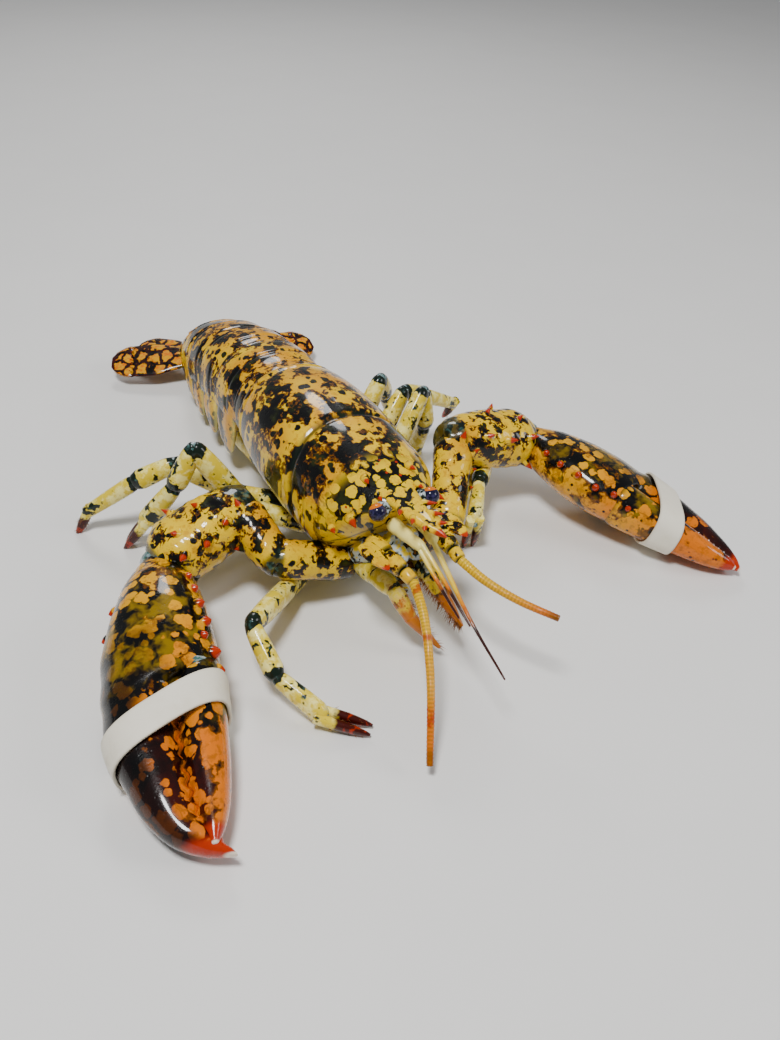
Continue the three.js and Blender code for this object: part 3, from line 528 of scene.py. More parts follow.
def calico(name, stretch=(1, 1, 1), patch=9.0, dark_share=0.5, warm=0.5, blots=0.0, body=False):
    """Wet shell with yellow and orange patches on black-olive, red at its points and dark at its joints.

    patch is the size of the patches in millimetres, dark_share the level of noise that they start at,
    warm how much of them turns orange, and blots the size of the dark spots in them. body adds the
    streaked flanks, the beaded front, and on the carapace painted shade: the darkened neck groove and
    margin line, and the dark band under its lower edge.
    """
    tone = colours()
    finish = Finish(name)
    spot = finish.place(stretch)
    wander = finish.warped(spot, patch * 0.5, patch * 0.8)
    broad = finish.noise(wander, patch, 3.0, 0.62)
    speck = finish.noise(spot, 1.6, 3.0, 0.7)
    grain = (speck - 0.5) * 0.16
    field = broad + grain
    top = finish.mark("top")
    flank = 0.0
    if body:
        tall = finish.warped(finish.place((1.0, 1.0, 0.2)), 5.0, 5.0)
        streaks = finish.noise(tall, 7.0, 3.0, 0.6)
        flank = 1 - top.between(0.1, 0.45)
        field = field * (1 - flank) + (streaks + grain + 0.035) * flank
    pale = field.between(dark_share - 0.02, dark_share + 0.02)
    edge = field.between(dark_share - 0.045, dark_share - 0.02) * (1 - pale) * 0.6
    if blots:
        dark = finish.cells(finish.warped(spot, 3.0, 2.4), blots).between(0.36, 0.29)
        pale = pale * (1 - dark * finish.noise(spot, 9.0, 1.0).between(0.44, 0.46))
    if body:
        front = 1 - finish.mark("along").between(0.14, 0.25)
        beads = finish.cells(finish.warped(finish.place(), 2.5, 2.6), 4.4).between(0.55, 0.49)
        oblong = finish.warped(finish.place((1.0, 1.0, 0.45)), 4.0, 4.0)
        bow = finish.noise(oblong, 5.5, 2.0).between(0.49, 0.52)
        pale = pale * (1 - front) + beads.most(bow * flank) * front
        edge = edge * (1 - front)
        flank = flank.most(front)
    zone = finish.noise(spot, 24.0, 1.0)
    threshold = 0.54 - 0.2 * warm
    heat = (zone + top * (0.12 * warm) - flank * 0.3).between(threshold, threshold + 0.3)
    light = finish.mixed(heat, tone.yellow, tone.orange)
    mottle = finish.noise(spot, 2.4, 3.0, 0.65)
    light = finish.mixed((mottle - 0.5).between(0.0, 0.16) * 0.5, light, tone.tan)
    deep = finish.mixed(finish.noise(spot, 5.0).between(0.48, 0.72), tone.black, tone.olive)
    colour = finish.mixed(pale, deep, light)
    colour = finish.mixed(edge, colour, tone.rust)
    if body:
        dots = finish.cells(finish.place((1.1, 1.1, 1.1)), 4.6).between(0.16, 0.11)
        colour = finish.mixed(dots * front * top.between(0.1, 0.4), colour, tone.red)
        # On the body, rim is painted shade: the neck groove and the lower margin line, darkened.
        colour = finish.mixed(finish.mark("rim"), colour, tone.joint_dark)
    blue = finish.noise(spot, 3.0).between(0.5, 0.72)
    green = finish.mixed(blue, tone.joint_dark, tone.joint_blue)
    # Dark joints; on the carapace the joint mark also paints shade on the band under its lower edge.
    colour = finish.mixed(finish.mark("joint"), colour, green)
    if not body:
        colour = finish.mixed(finish.mark("rim") * 0.6, colour, tone.pale)
    colour = finish.mixed(finish.mark("tip").between(0.2, 0.55), colour, tone.red)
    pits = finish.cells(spot, 1.5)
    fine = finish.noise(spot, 0.5, 2.0)
    height = pits.between(0.0, 0.35) * 0.5 + fine * 0.35 + broad * 0.6
    return finish.close(colour, 0.25 + mottle * 0.16, height, 0.16, WET)


def claw_shell(name):
    """The heavy claws: black-brown with round orange spots, orange below and towards the points."""
    tone = colours()
    finish = Finish(name)
    spot = finish.place()
    along = finish.mark("along")
    top = finish.mark("top")
    rim = finish.mark("rim")
    broad = finish.noise(finish.warped(spot, 6.0, 7.0), 12.0, 3.0, 0.6)
    speck = finish.noise(spot, 1.4, 3.0, 0.7)
    inner = finish.mark("side")
    below = (top - inner * 0.4).between(0.2, -0.2)
    outer = inner.between(0.35, -0.2) * along.between(0.2, 0.45)
    field = broad + (speck - 0.5) * 0.12 + below * 0.16 + rim * 0.2 - outer * 0.12
    pale = field.between(0.60, 0.635)
    edge = field.between(0.55, 0.60) * (1 - pale) * 0.6
    large = finish.cells(finish.warped(spot, 3.0, 3.0), 6.6).between(0.43, 0.37)
    small = finish.cells(finish.warped(spot, 2.0, 1.6), 4.2).between(0.36, 0.28)
    spots = large.most(small * finish.noise(spot, 14.0, 1.0).between(0.48, 0.5))
    pale = pale.most(spots * (1 - outer * 0.92))
    freckles = finish.cells(spot, 3.4).between(0.25, 0.17) * below
    pale = pale * (1 - freckles)
    ripe = (along + (finish.noise(spot, 20.0) - 0.5) * 0.5 + rim * 0.3).between(0.2, 0.75)
    light = finish.mixed(ripe, tone.claw_yellow, tone.claw_orange)
    mottle = finish.noise(spot, 3.0, 3.0, 0.6)
    light = finish.mixed((mottle - 0.47).between(0.0, 0.2) * 0.5, light, tone.rust)
    middle = along.between(0.08, 0.25) * along.between(0.62, 0.42)
    gold = finish.noise(finish.warped(spot, 5.0, 5.0), 11.0, 3.0, 0.6).between(0.46, 0.62) * middle
    deep = finish.mixed(gold * 0.85, tone.black, tone.gold)
    umber = (along + (broad - 0.5) * 1.2).between(0.5, 1.0) * (1 - outer * 0.8)
    deep = finish.mixed(umber, deep, tone.maroon)
    colour = finish.mixed(pale, deep, light)
    colour = finish.mixed(edge, colour, tone.rust)
    colour = finish.mixed(finish.mark("joint") * 0.9, colour, tone.joint_dark)
    tip = finish.mark("tip")
    colour = finish.mixed(tip.between(0.2, 0.6), colour, tone.red)
    colour = finish.mixed(tip.between(0.95, 0.985), colour, tone.horn)
    pits = finish.cells(spot, 2.2)
    fine = finish.noise(spot, 0.6, 2.0)
    height = pits.between(0.0, 0.3) * 0.6 + fine * 0.3 + broad * 0.8
    return finish.close(colour, 0.2 + mottle * 0.16, height, 0.18, WET)


def leg_shell(name, jaws=False):
    """Walking legs: pale yellow between dark green joints, dark red at the feet. The jaws end in orange."""
    tone = colours()
    end = tone.jaw if jaws else tone.maroon
    finish = Finish(name)
    spot = finish.place()
    joint = finish.mark("joint")
    tip = finish.mark("tip")
    mottle = finish.noise(finish.warped(spot, 3.0, 3.0), 4.5, 3.0, 0.65)
    light = finish.mixed(mottle.between(0.42, 0.62), tone.leg_yellow, tone.pale)
    patch = finish.noise(finish.warped(spot, 4.0, 4.0), 7.5, 3.0, 0.6)
    smudge = (patch + joint * 0.4 + tip * 0.12).between(0.57, 0.61)
    blue = finish.noise(spot, 3.2).between(0.56, 0.74)
    colour = finish.mixed(smudge, light, finish.mixed(blue, tone.joint_dark, tone.joint_blue))
    freckle = finish.cells(spot, 3.4).between(0.2, 0.13) * patch.between(0.44, 0.5)
    colour = finish.mixed(freckle * 0.85, colour, tone.black)
    worn = (tip + (mottle - 0.5) * 0.9).between(0.25, 0.5)
    colour = finish.mixed(worn, colour, end)
    colour = finish.mixed((tip * 0.5 + mottle).between(0.98, 1.05) * 0.8, colour, tone.red)
    height = finish.noise(spot, 0.6, 2.0) * 0.5 + mottle * 0.5
    return finish.close(colour, 0.27 + mottle * 0.12, height, 0.1, WET)


def fan_shell(name):
    """Tail vanes: yellow-orange cells in a brown-purple net, with a dark red rim."""
    tone = colours()
    finish = Finish(name)
    spot = finish.place()
    wander = finish.warped(spot, 3.5, 4.0)
    net = finish.cells(wander, 6.6, "DISTANCE_TO_EDGE")
    mottle = finish.noise(spot, 2.2, 3.0, 0.6)
    cells = (net + (mottle - 0.5) * 0.16).between(0.10, 0.17)
    light = finish.mixed(mottle.between(0.42, 0.65), tone.claw_yellow, tone.claw_orange)
    dark = finish.mixed(finish.noise(spot, 4.0).between(0.45, 0.6), tone.plum, tone.black)
    colour = finish.mixed(cells, dark, light)
    rim = finish.mark("rim") + (mottle - 0.5) * 0.5
    colour = finish.mixed(rim.between(0.62, 0.85), colour, tone.maroon)
    colour = finish.mixed(finish.mark("joint"), colour, tone.yellow)
    colour = finish.mixed(finish.mark("tip").between(0.2, 0.7), colour, tone.red)
    height = cells * 0.35 + finish.noise(spot, 0.6, 2.0) * 0.5
    return finish.close(colour, 0.26 + mottle * 0.14, height, 0.14, WET)


def feeler_shell(name, long_feeler=False):
    """Ringed feelers, yellow at the root and darker towards the point."""
    tone = colours()
    finish = Finish(name)
    spot = finish.place()
    mottle = finish.noise(finish.warped(spot, 4.0, 3.0), 7.0, 3.0, 0.6)
    stops = [
        (0.0, tone.pale), (0.35, tone.yellow), (0.5, tone.claw_orange), (0.62, tone.plum),
        (1.0, tone.maroon),
    ]
    if long_feeler:
        stops = [(0.0, tone.yellow), (0.55, tone.claw_yellow), (0.85, tone.claw_orange), (1.0, tone.rust)]
    along = finish.mark("along") + (mottle - 0.5) * 0.3
    colour = finish.node("ShaderNodeValToRGB", {"stops": stops}, {"Fac": along})
    if long_feeler:
        colour = finish.mixed(mottle.between(0.6, 0.68) * 0.8, colour, tone.red)
    colour = finish.mixed(finish.mark("rim") * 0.45, colour, tone.rust)
    return finish.close(colour, 0.32 + mottle * 0.1, finish.noise(spot, 0.5), 0.06, WET)


def eye_finish(name):
    """Blue-black eyeball with an orange crescent over it and a pale ring at the stalk."""
    tone = colours()
    finish = Finish(name)
    spot = finish.place()
    facets = finish.cells(spot, 0.35)
    grain = finish.noise(spot, 1.5)
    sheen = (0.035, 0.03, 0.09)
    lens = finish.mixed(grain.between(0.4, 0.7), tone.eye, sheen)
    crescent = (finish.mark("rim") + (grain - 0.5) * 0.2).between(0.5, 0.62)
    colour = finish.mixed(crescent, lens, tone.claw_orange)
    ring = finish.mixed(grain.between(0.4, 0.6), tone.membrane, tone.joint_dark)
    colour = finish.mixed(finish.mark("joint"), colour, ring)
    return finish.close(colour, 0.12, facets, 0.012, WET)


def soft_skin(name):
    """The thin skin between the plates: blue-white to reddish, smooth and wet."""
    tone = colours()
    finish = Finish(name)
    spot = finish.place()
    clouds = finish.noise(finish.warped(spot, 3.0, 3.0), 4.5, 3.0, 0.6)
    stops = [
        (0.34, tone.plum), (0.46, tone.joint_blue), (0.6, tone.membrane), (0.72, tone.joint_dark),
    ]
    colour = finish.node("ShaderNodeValToRGB", {"stops": stops}, {"Fac": clouds})
    folds = finish.noise(spot, 1.4, 2.0)
    sockets = {**WET, "Subsurface Weight": 0.25, "Subsurface Scale": 0.002}
    return finish.close(colour, 0.22 + clouds * 0.1, folds, 0.25, sockets)


def pale_plate(name):
    """The pale plates under the chest and round the mouth."""
    tone = colours()
    finish = Finish(name)
    spot = finish.place()
    clouds = finish.noise(finish.warped(spot, 5.0, 4.0), 6.0, 3.0, 0.6)
    colour = finish.mixed(clouds.between(0.42, 0.5), tone.leg_yellow, tone.membrane)
    colour = finish.mixed(clouds.between(0.53, 0.57), colour, tone.joint_dark)
    colour = finish.mixed(clouds.between(0.6, 0.64), colour, tone.rust)
    colour = finish.mixed(finish.mark("joint"), colour, tone.joint_dark)
    colour = finish.mixed(finish.mark("tip").between(0.2, 0.7), colour, tone.red)
    return finish.close(colour, 0.28 + clouds * 0.1, finish.noise(spot, 0.8, 2.0), 0.12, WET)


def bristle_finish(name):
    """Orange-brown bristles."""
    tone = colours()
    finish = Finish(name)
    spot = finish.place()
    shade = finish.mixed(finish.noise(spot, 2.0).between(0.35, 0.65), tone.bristle, tone.rust)
    colour = finish.mixed(finish.mark("along").between(0.3, 1.0) * 0.5, shade, tone.claw_yellow)
    return finish.close(colour, 0.45 + finish.noise(spot, 1.0) * 0.1)


def rubber(name):
    """Cream rubber with a faint stretch grain, a little soiling, and a darker strip along each edge."""
    tone = colours()
    finish = Finish(name)
    spot = finish.place()
    soiled, darker_edge = (0.62, 0.55, 0.40), (0.50, 0.43, 0.30)
    stain = finish.noise(finish.warped(spot, 6.0, 5.0), 9.0, 4.0, 0.6)
    colour = finish.mixed(stain.between(0.45, 0.75) * 0.35, tone.band, soiled)
    # A darker strip along each edge of the band.
    colour = finish.mixed(finish.mark("rim").between(0.8, 1.0) * 0.35, colour, darker_edge)
    grain = finish.noise(spot, 0.35, 3.0, 0.7)
    scuff = finish.noise(finish.place((1.0, 0.2, 1.0)), 1.6, 2.0)
    return finish.close(colour, 0.48 + stain * 0.16, grain * 0.6 + scuff * 0.5, 0.05)


# Properties

def colour_property(label, text, value):
    return bpy.props.FloatVectorProperty(
        name=label, description=text, default=value, min=0.0, max=1.0, size=3, subtype="COLOR"
    )


def length_property(label, text, value):
    return bpy.props.FloatProperty(
        name=label, description=text, default=value, min=0.0, subtype="DISTANCE", unit="LENGTH"
    )


class LobsterColours(bpy.types.PropertyGroup):
    """The colours of the shell, the joints, the feelers and the bands."""

    yellow: colour_property("Yellow", "Bright patches on the flanks and arms", (0.80, 0.52, 0.0))
    orange: colour_property("Orange", "Warm patches on the back", (0.64, 0.29, 0.0))
    tan: colour_property("Tan", "Mottling in the light patches", (0.46, 0.17, 0.0))
    olive: colour_property("Olive", "Lighter part of the dark network", (0.018, 0.022, 0.004))
    gold: colour_property("Gold", "Olive-gold of the crusher's middle", (0.25, 0.15, 0.0))
    black: colour_property("Black", "Darkest part of the dark network", (0.002, 0.002, 0.002))
    rust: colour_property("Rust", "Edges between dark and light", (0.20, 0.06, 0.0))
    red: colour_property("Red", "Spines and points", (0.42, 0.022, 0.0))
    maroon: colour_property("Maroon", "Feet, fan rims and claw tips", (0.045, 0.004, 0.002))
    horn: colour_property("Horn", "The very points", (0.82, 0.68, 0.55))
    plum: colour_property("Plum", "Net on the fan, dark half of the short feelers", (0.028, 0.007, 0.006))
    claw_yellow: colour_property("Claw yellow", "Light patches near the wrists", (0.72, 0.34, 0.0))
    claw_orange: colour_property("Claw orange", "Light patches towards the points", (0.66, 0.155, 0.0))
    pale: colour_property("Pale", "Legs and under-plates", (0.95, 0.84, 0.26))
    leg_yellow: colour_property("Leg yellow", "Warmer parts of the legs", (0.74, 0.55, 0.02))
    # Joint dark also colours the carapace's painted shade: its neck groove, its margin line and, with joint
    # blue, the band under its lower edge.
    joint_dark: colour_property("Joint dark", "Dark green of the joints", (0.005, 0.012, 0.007))
    joint_blue: colour_property("Joint blue", "Blue-green of the joints", (0.045, 0.12, 0.11))
    membrane: colour_property("Membrane", "Skin between the plates", (0.42, 0.50, 0.52))
    eye: colour_property("Eye", "Eyeball", (0.006, 0.006, 0.024))
    jaw: colour_property("Jaw", "Ends of the outer jaws", (0.46, 0.13, 0.004))
    bristle: colour_property("Bristle", "Bristles on the jaws and feet", (0.24, 0.07, 0.004))
    band: colour_property("Band", "Rubber bands", (0.80, 0.75, 0.62))
    floor: colour_property("Floor", "Studio floor", (0.80, 0.79, 0.77))


class LobsterSizes(bpy.types.PropertyGroup):
    """Sizes that a maker would change."""

    band_width: length_property("Band width", "Width of each rubber band", 0.011)
    band_thickness: length_property("Band thickness", "Thickness of each rubber band", 0.0011)
    neck_groove: length_property("Neck groove", "Depth of the groove across the carapace", 0.0012)
    feeler_rings: length_property("Feeler rings", "Spacing of the rings on the long feelers", 0.0013)
    bristle_length: length_property("Bristle length", "Length of the bristles on the jaws", 0.0034)


# Cross-sections of the body

SHELL = Form([
    cut(SOCKET_Y + 0.5, 9, 6, 9, z=51.5, lean=3),
    cut(SOCKET_Y + 4, 15, 11, 15, z=48, lean=7),
    cut(SOCKET_Y + 10, 20, 18, 18, z=43, lean=8),
    cut(SOCKET_Y + 18, 24, 23.5, 18.5, z=39.5, lean=4),
    cut(SOCKET_Y + 28, SHELL_HALF_WIDTH - 1.6, 26.5, 18, z=37.5, lean=-4),
    cut(SOCKET_Y + 38, SHELL_HALF_WIDTH - 0.6, 28, 18, z=37, lean=-14),
    cut(SOCKET_Y + 46, SHELL_HALF_WIDTH - 0.4, 28.4, 18, z=37, lean=-20),
    cut(SOCKET_Y + 52, SHELL_HALF_WIDTH, 28.6, 18, z=37, lean=-21),
    cut(SOCKET_Y + 62, SHELL_HALF_WIDTH + 0.5, 29, 18, z=37, lean=-18),
    cut(SOCKET_Y + 74, SHELL_HALF_WIDTH + 0.3, 28.5, 17.5, z=37, lean=-12),
    cut(SOCKET_Y + 86, SHELL_HALF_WIDTH - 0.8, 27, 16, z=37, lean=-6),
    cut(SOCKET_Y + 95, SHELL_HALF_WIDTH - 2.3, 25, 13, z=37, lean=-4),
    cut(SHELL_REAR_Y - 1.5, TAIL_HALF_WIDTH + 0.8, 24, 10, z=37, lean=-4),
    cut(SHELL_REAR_Y, TAIL_HALF_WIDTH, 23, 9, z=37, lean=-4),
])
ROSTRUM = Form([
    cut(SOCKET_Y + 14, 7, 3, z=58),
    cut(SOCKET_Y + 2, 6.2, 2.4, z=57.2),
    cut(SOCKET_Y - 8, 4.6, 2, z=57.4),
    cut(SOCKET_Y - 16, 3, 1.7, z=58.2),
    cut(SOCKET_Y - 22, 1.7, 1.3, z=59.2),
    cut(SOCKET_Y - ROSTRUM_LENGTH, 0.35, 0.35, z=60.6),
])
# Each spine of the beak by its distance in front of the sockets and its length
ROSTRUM_SPINES = ((5, 5.5), (11.5, 5), (17.5, 4.2))
ROSTRUM_SPINE_RADIUS = 1.35
# Each spine of the face by its x, its y behind the sockets, its z, length and radius
FACE_SPINES = (
    (8.2, 4.5, 58.5, 2.6, 1.3), (9.2, 13, 61, 3.4, 1.5), (17.5, 8, 49, 6, 2), (21.5, 15, 41, 3.5, 1.6),
)
STERNUM = Form([
    cut(-60, 7, 5, z=38), cut(-55, 10, 9, z=33), cut(-47, 13, 10, 11, z=27), cut(-38, 13.5, 8, z=19),
    cut(-20, 13.5, 7, z=17), cut(10, 13.5, 7, z=17), cut(28, 12.5, 7, z=18), cut(38, 9, 6, z=21),
])
TAIL_START = Vector((0, SHELL_REAR_Y - 5, 36.5))
TAIL_SEGMENTS = (
    dict(length=12, dip=0, bend=0, wide=23.2, tall=22.4, low=13, lobe=0, broad=0),
    dict(length=21, dip=6, bend=0, wide=24, tall=22.8, low=13, lobe=24.5, broad=9),
    dict(length=21, dip=10, bend=0, wide=23.6, tall=22.4, low=12.5, lobe=22.5, broad=6.8),
    dict(length=20, dip=14, bend=-2, wide=22.6, tall=21, low=12, lobe=20.5, broad=6.4),
    dict(length=19, dip=18, bend=-5, wide=21, tall=18.8, low=11, lobe=17.5, broad=6),
    dict(length=21, dip=21, bend=-9, wide=19, tall=15.5, low=9, lobe=12, broad=6),
)
LAP = 4
# The way the fan points, and the length, half width and thickness of its vanes
FAN = dict(heading=77, dip=7, telson=(34, 11, 1.9), inner=(36, 9.5, 1.6), outer=(43, 10.5, 1.8))


def tail_frames():
    """The frame of each tail segment, and of the fan's five vanes."""
    steps = [(size["length"], 90 + size["bend"], -size["dip"]) for size in TAIL_SEGMENTS]
    frames = stride(TAIL_START, steps)
    root = frames[-1] @ Vector((0, TAIL_SEGMENTS[-1]["length"] - 1, 1))
    telson = aimed(root, FAN["heading"], -FAN["dip"])
    vanes = {"telson": telson}
    for side, sign in SIDES:
        inner = telson @ Vector((sign * 10, -1, -1.5))
        outer = telson @ Vector((sign * 12, -5, -1))
        vanes[f"inner_{side}"] = aimed(inner, FAN["heading"] - sign * 52, -FAN["dip"] + 1, sign * -8)
        vanes[f"outer_{side}"] = aimed(outer, FAN["heading"] - sign * 76, -FAN["dip"] + 1, sign * -20)
    return frames, vanes


# Limbs

CRUSHER_PALM = [
    cut(-1, 5.5, 6), cut(5, 9.4, 8.5, x=-0.9), cut(14, 13.8, 12.5, x=-2), cut(28, 17.6, 15.5, x=-3.8),
    cut(43, 19.8, 16.2, 16.8, x=-5.6), cut(57, 20.4, 15.4, 16, x=-6.6), cut(62, 13.6, 14.4, x=-13.4),
    cut(78, 11.6, 12.4, 11.4, x=-15), cut(92, 9.4, 10, 9.4, x=-13), cut(103, 7.6, 7.6, x=-10.4),
    cut(112, 6.4, 5.6, x=-5.6), cut(118, 4.2, 3.2, x=1.5, z=-1), cut(120.5, 0.8, 1, x=6.5, z=-1),
]
CRUSHER_FINGER = [
    cut(54, 7.2, 10.5, x=6.6), cut(59, 8.4, 12.6, x=5.6), cut(71, 8.2, 11.6, 11.2, x=4.6),
    cut(87, 7.4, 9.6, x=3.6), cut(101, 5.6, 7, x=3), cut(111, 3.4, 4.4, x=2, z=1),
    cut(117, 0.9, 1.2, x=1.2, z=2.5),
]
CUTTER_PALM = [
    cut(-1, 5, 5.5), cut(5, 8.6, 7.5), cut(13, 13.4, 10), cut(26, 17.6, 12), cut(39, 19.2, 12.4),
    cut(50, 18.6, 11.8), cut(55, 12, 11, x=-6.4), cut(68, 10.2, 9.4, x=-7.8), cut(83, 7.8, 7.4, x=-6.6),
    cut(96, 4.8, 5, x=-3.6), cut(104, 2.4, 3, x=-0.2), cut(108, 0.6, 0.8, x=2.2),
]
CUTTER_FINGER = [
    cut(47, 6.2, 8, x=10.2), cut(52, 7.7, 9.8, x=9.7), cut(64, 7.3, 8.8, x=8.9), cut(80, 6.1, 7, x=7.3),
    cut(93, 4.6, 5, x=6), cut(102, 2.6, 3, x=3.9), cut(106, 0.6, 0.8, x=3),
]
# Each claw by its root and the steps of its arm, its forms, teeth and band, and its knobs' y, turn and size
CLAWS = {
    "right": dict(
        inward=-1, root=(-12, -40, 17),
        steps=((29.4, 168.8, 15.8), (26.4, 102, 19.2), (36, 187, -19), (120.5, -102, -6.5, -4)),
        palm=CRUSHER_PALM, finger=CRUSHER_FINGER, split=57, hinge=13.4,
        band_at=71, band_lean=21, tooth_depth=1.5, tooth_width=5.2,
        knobs=(
            (24, 38, 2.6, 2.0), (31, 34, 2.6, 2.2), (39, 30, 2.9, 2.3), (46, 38, 2.4, 2.0),
            (52, 26, 3.4, 2.6), (17, 40, 2.2, 1.8), (22, 168, 1.6, 1.8), (33, 172, 1.4, 1.8),
        ),
        finger_knobs=((58, 20, 1.6, 2.4), (66, 60, 0.6, 1.6)),
    ),
    "left": dict(
        inward=1, root=(12, -41, 16),
        steps=((24, 8, 8), (38, 55, 26), (38, -3, -12), (108, -62, -13, 15)),
        palm=CUTTER_PALM, finger=CUTTER_FINGER, split=50, hinge=10.4,
        band_at=67.5, band_lean=-27, tooth_depth=0.9, tooth_width=2.6,
        knobs=(
            (14, 22, 3.2, 1.6), (22, 20, 3.6, 1.7), (31, 22, 3.8, 1.8), (40, 20, 3.6, 1.8),
            (48, 26, 3.2, 1.7), (20, 160, 2.2, 1.5),
        ),
        finger_knobs=((56, 20, 2.2, 1.6),),
    ),
}
# How a band stands off the claw at its sides, above and below, how square it is, and its rounded edge
BAND_SIDE_GAP = 0.24
BAND_GAP = 0.3
BAND_BULGE = 1.06
BAND_POWER = 2.8
BAND_EDGE = 0.28
BAND_FITS = 8
# The five lengths of each leg, from its root to its toe, and whether it ends in a pincer
LEG_SIZES = {
    2: (18, 48.7, 20.5, 21.3, 17.4, True),
    3: (30, 35, 19, 24, 17, True),
    4: (26, 30, 18, 27, 13, False),
    5: (24, 28, 16, 24, 12, False),
}
PINCER_SPREAD = 2.1
LEG_SEED = 11
# Each leg by the place of its root, then the heading and rise of each of its lengths
LEG_STANCES = {
    "right": {
        2: ((-8, -25.5, 8.5), (-169.4, -1.6), (-138.5, 16.7), (-86, -28.9), (-61.6, -19.7), (-39.8, -11)),
        3: ((-11, -12, 14), (145, 12), (152, 56), (172, -62), (147, -54), (150, -54)),
        4: ((-11, 4, 14), (150, 10), (151, 29), (166, -22), (152, -37), (172, -62)),
        5: ((-9, 23, 13), (97, -5), (92, -2), (90, -6), (88, -8), (86, -16)),
    },
    "left": {
        2: ((11, -27, 9), (-8, 0), (22.8, 9.4), (-134.1, 16.9), (-127.6, -18.1), (75.8, -76.4)),
        3: ((11, -12, 14), (40, 12), (28, 44), (6, -82), (80, -62), (60, -15)),
        4: ((11, 4, 14), (36, 14), (25, 42), (19, -30), (17, -31), (104, -60)),
        5: ((11, 20, 14), (35, 14), (22, 52), (45, -55), (45, -54), (45, -50)),
    },
}
SHORT_FEELERS = {
    "right": dict(
        stalk=((-4, -58, 47), (-3, -67, 47.5), (-1, -75, 47)),
        whips=(
            ((-1, -74, 48.4), (-0.2, -86, 43.2), (0.6, -96, 38), (1, -105, 34)),
            ((-1.8, -74, 46.4), (-1.6, -85, 41.5), (-0.9, -94, 37), (-0.3, -100, 34)),
        ),
    ),
    "left": dict(
        stalk=((5, -57, 47), (5.5, -66, 47.5), (4.5, -74, 47)),
        whips=(
            ((3.8, -73, 48.4), (3.4, -88, 40.2), (3.4, -101, 33.4), (2.7, -125, 26.2)),
            ((4.8, -73, 46), (4.8, -86, 39), (4.5, -97, 33), (4.2, -106, 29)),
        ),
    ),
}
LONG_FEELERS = {
    "right": dict(
        base=((-12, -57, 40), (-10.5, -66, 40), (-8.4, -75, 39), (-7, -80, 37.6)),
        whip=((-7, -80, 37.6), (-10.5, -93, 34.5), (-17.5, -110, 26.5), (-28.6, -131, 6)),
    ),
    "left": dict(
        base=((12, -57, 41), (13, -66, 41.5), (12.5, -75, 41), (12.5, -80, 40)),
        whip=((12.5, -80, 40), (15, -90.5, 38.6), (20.8, -104.5, 37.4), (29.2, -117.5, 36.2)),
    ),
}
JAWS = {
    "right": ((-8, -46, 18), (-9, -60, 24), (-8, -70, 25), (-5, -77.5, 16), (3, -86.5, 5)),
    "left": ((8, -46, 18), (9, -60, 24), (7, -71, 26), (9, -79, 20), (11, -88, 14)),
}
JAW_RADII = (4.4, 4.4, 3.6, 3, 0.8)
JAW_SEED = 7
BRISTLES_PER_JOINT = 70
# Each of the smaller mouthparts by its path and its thickness at the root and the tip
MOUTHPARTS = (
    (((3, -50, 20), (4, -60, 24), (2.5, -70, 22)), 3.0, 1.2),
    (((6, -50, 26), (7, -62, 31), (4.5, -72, 31)), 3.2, 1.0),
)
EYE = dict(x=11, y=SOCKET_Y + 0.5, z=55.5, radius=3.4, stalk=2.5, collar=3.0)


# Pieces

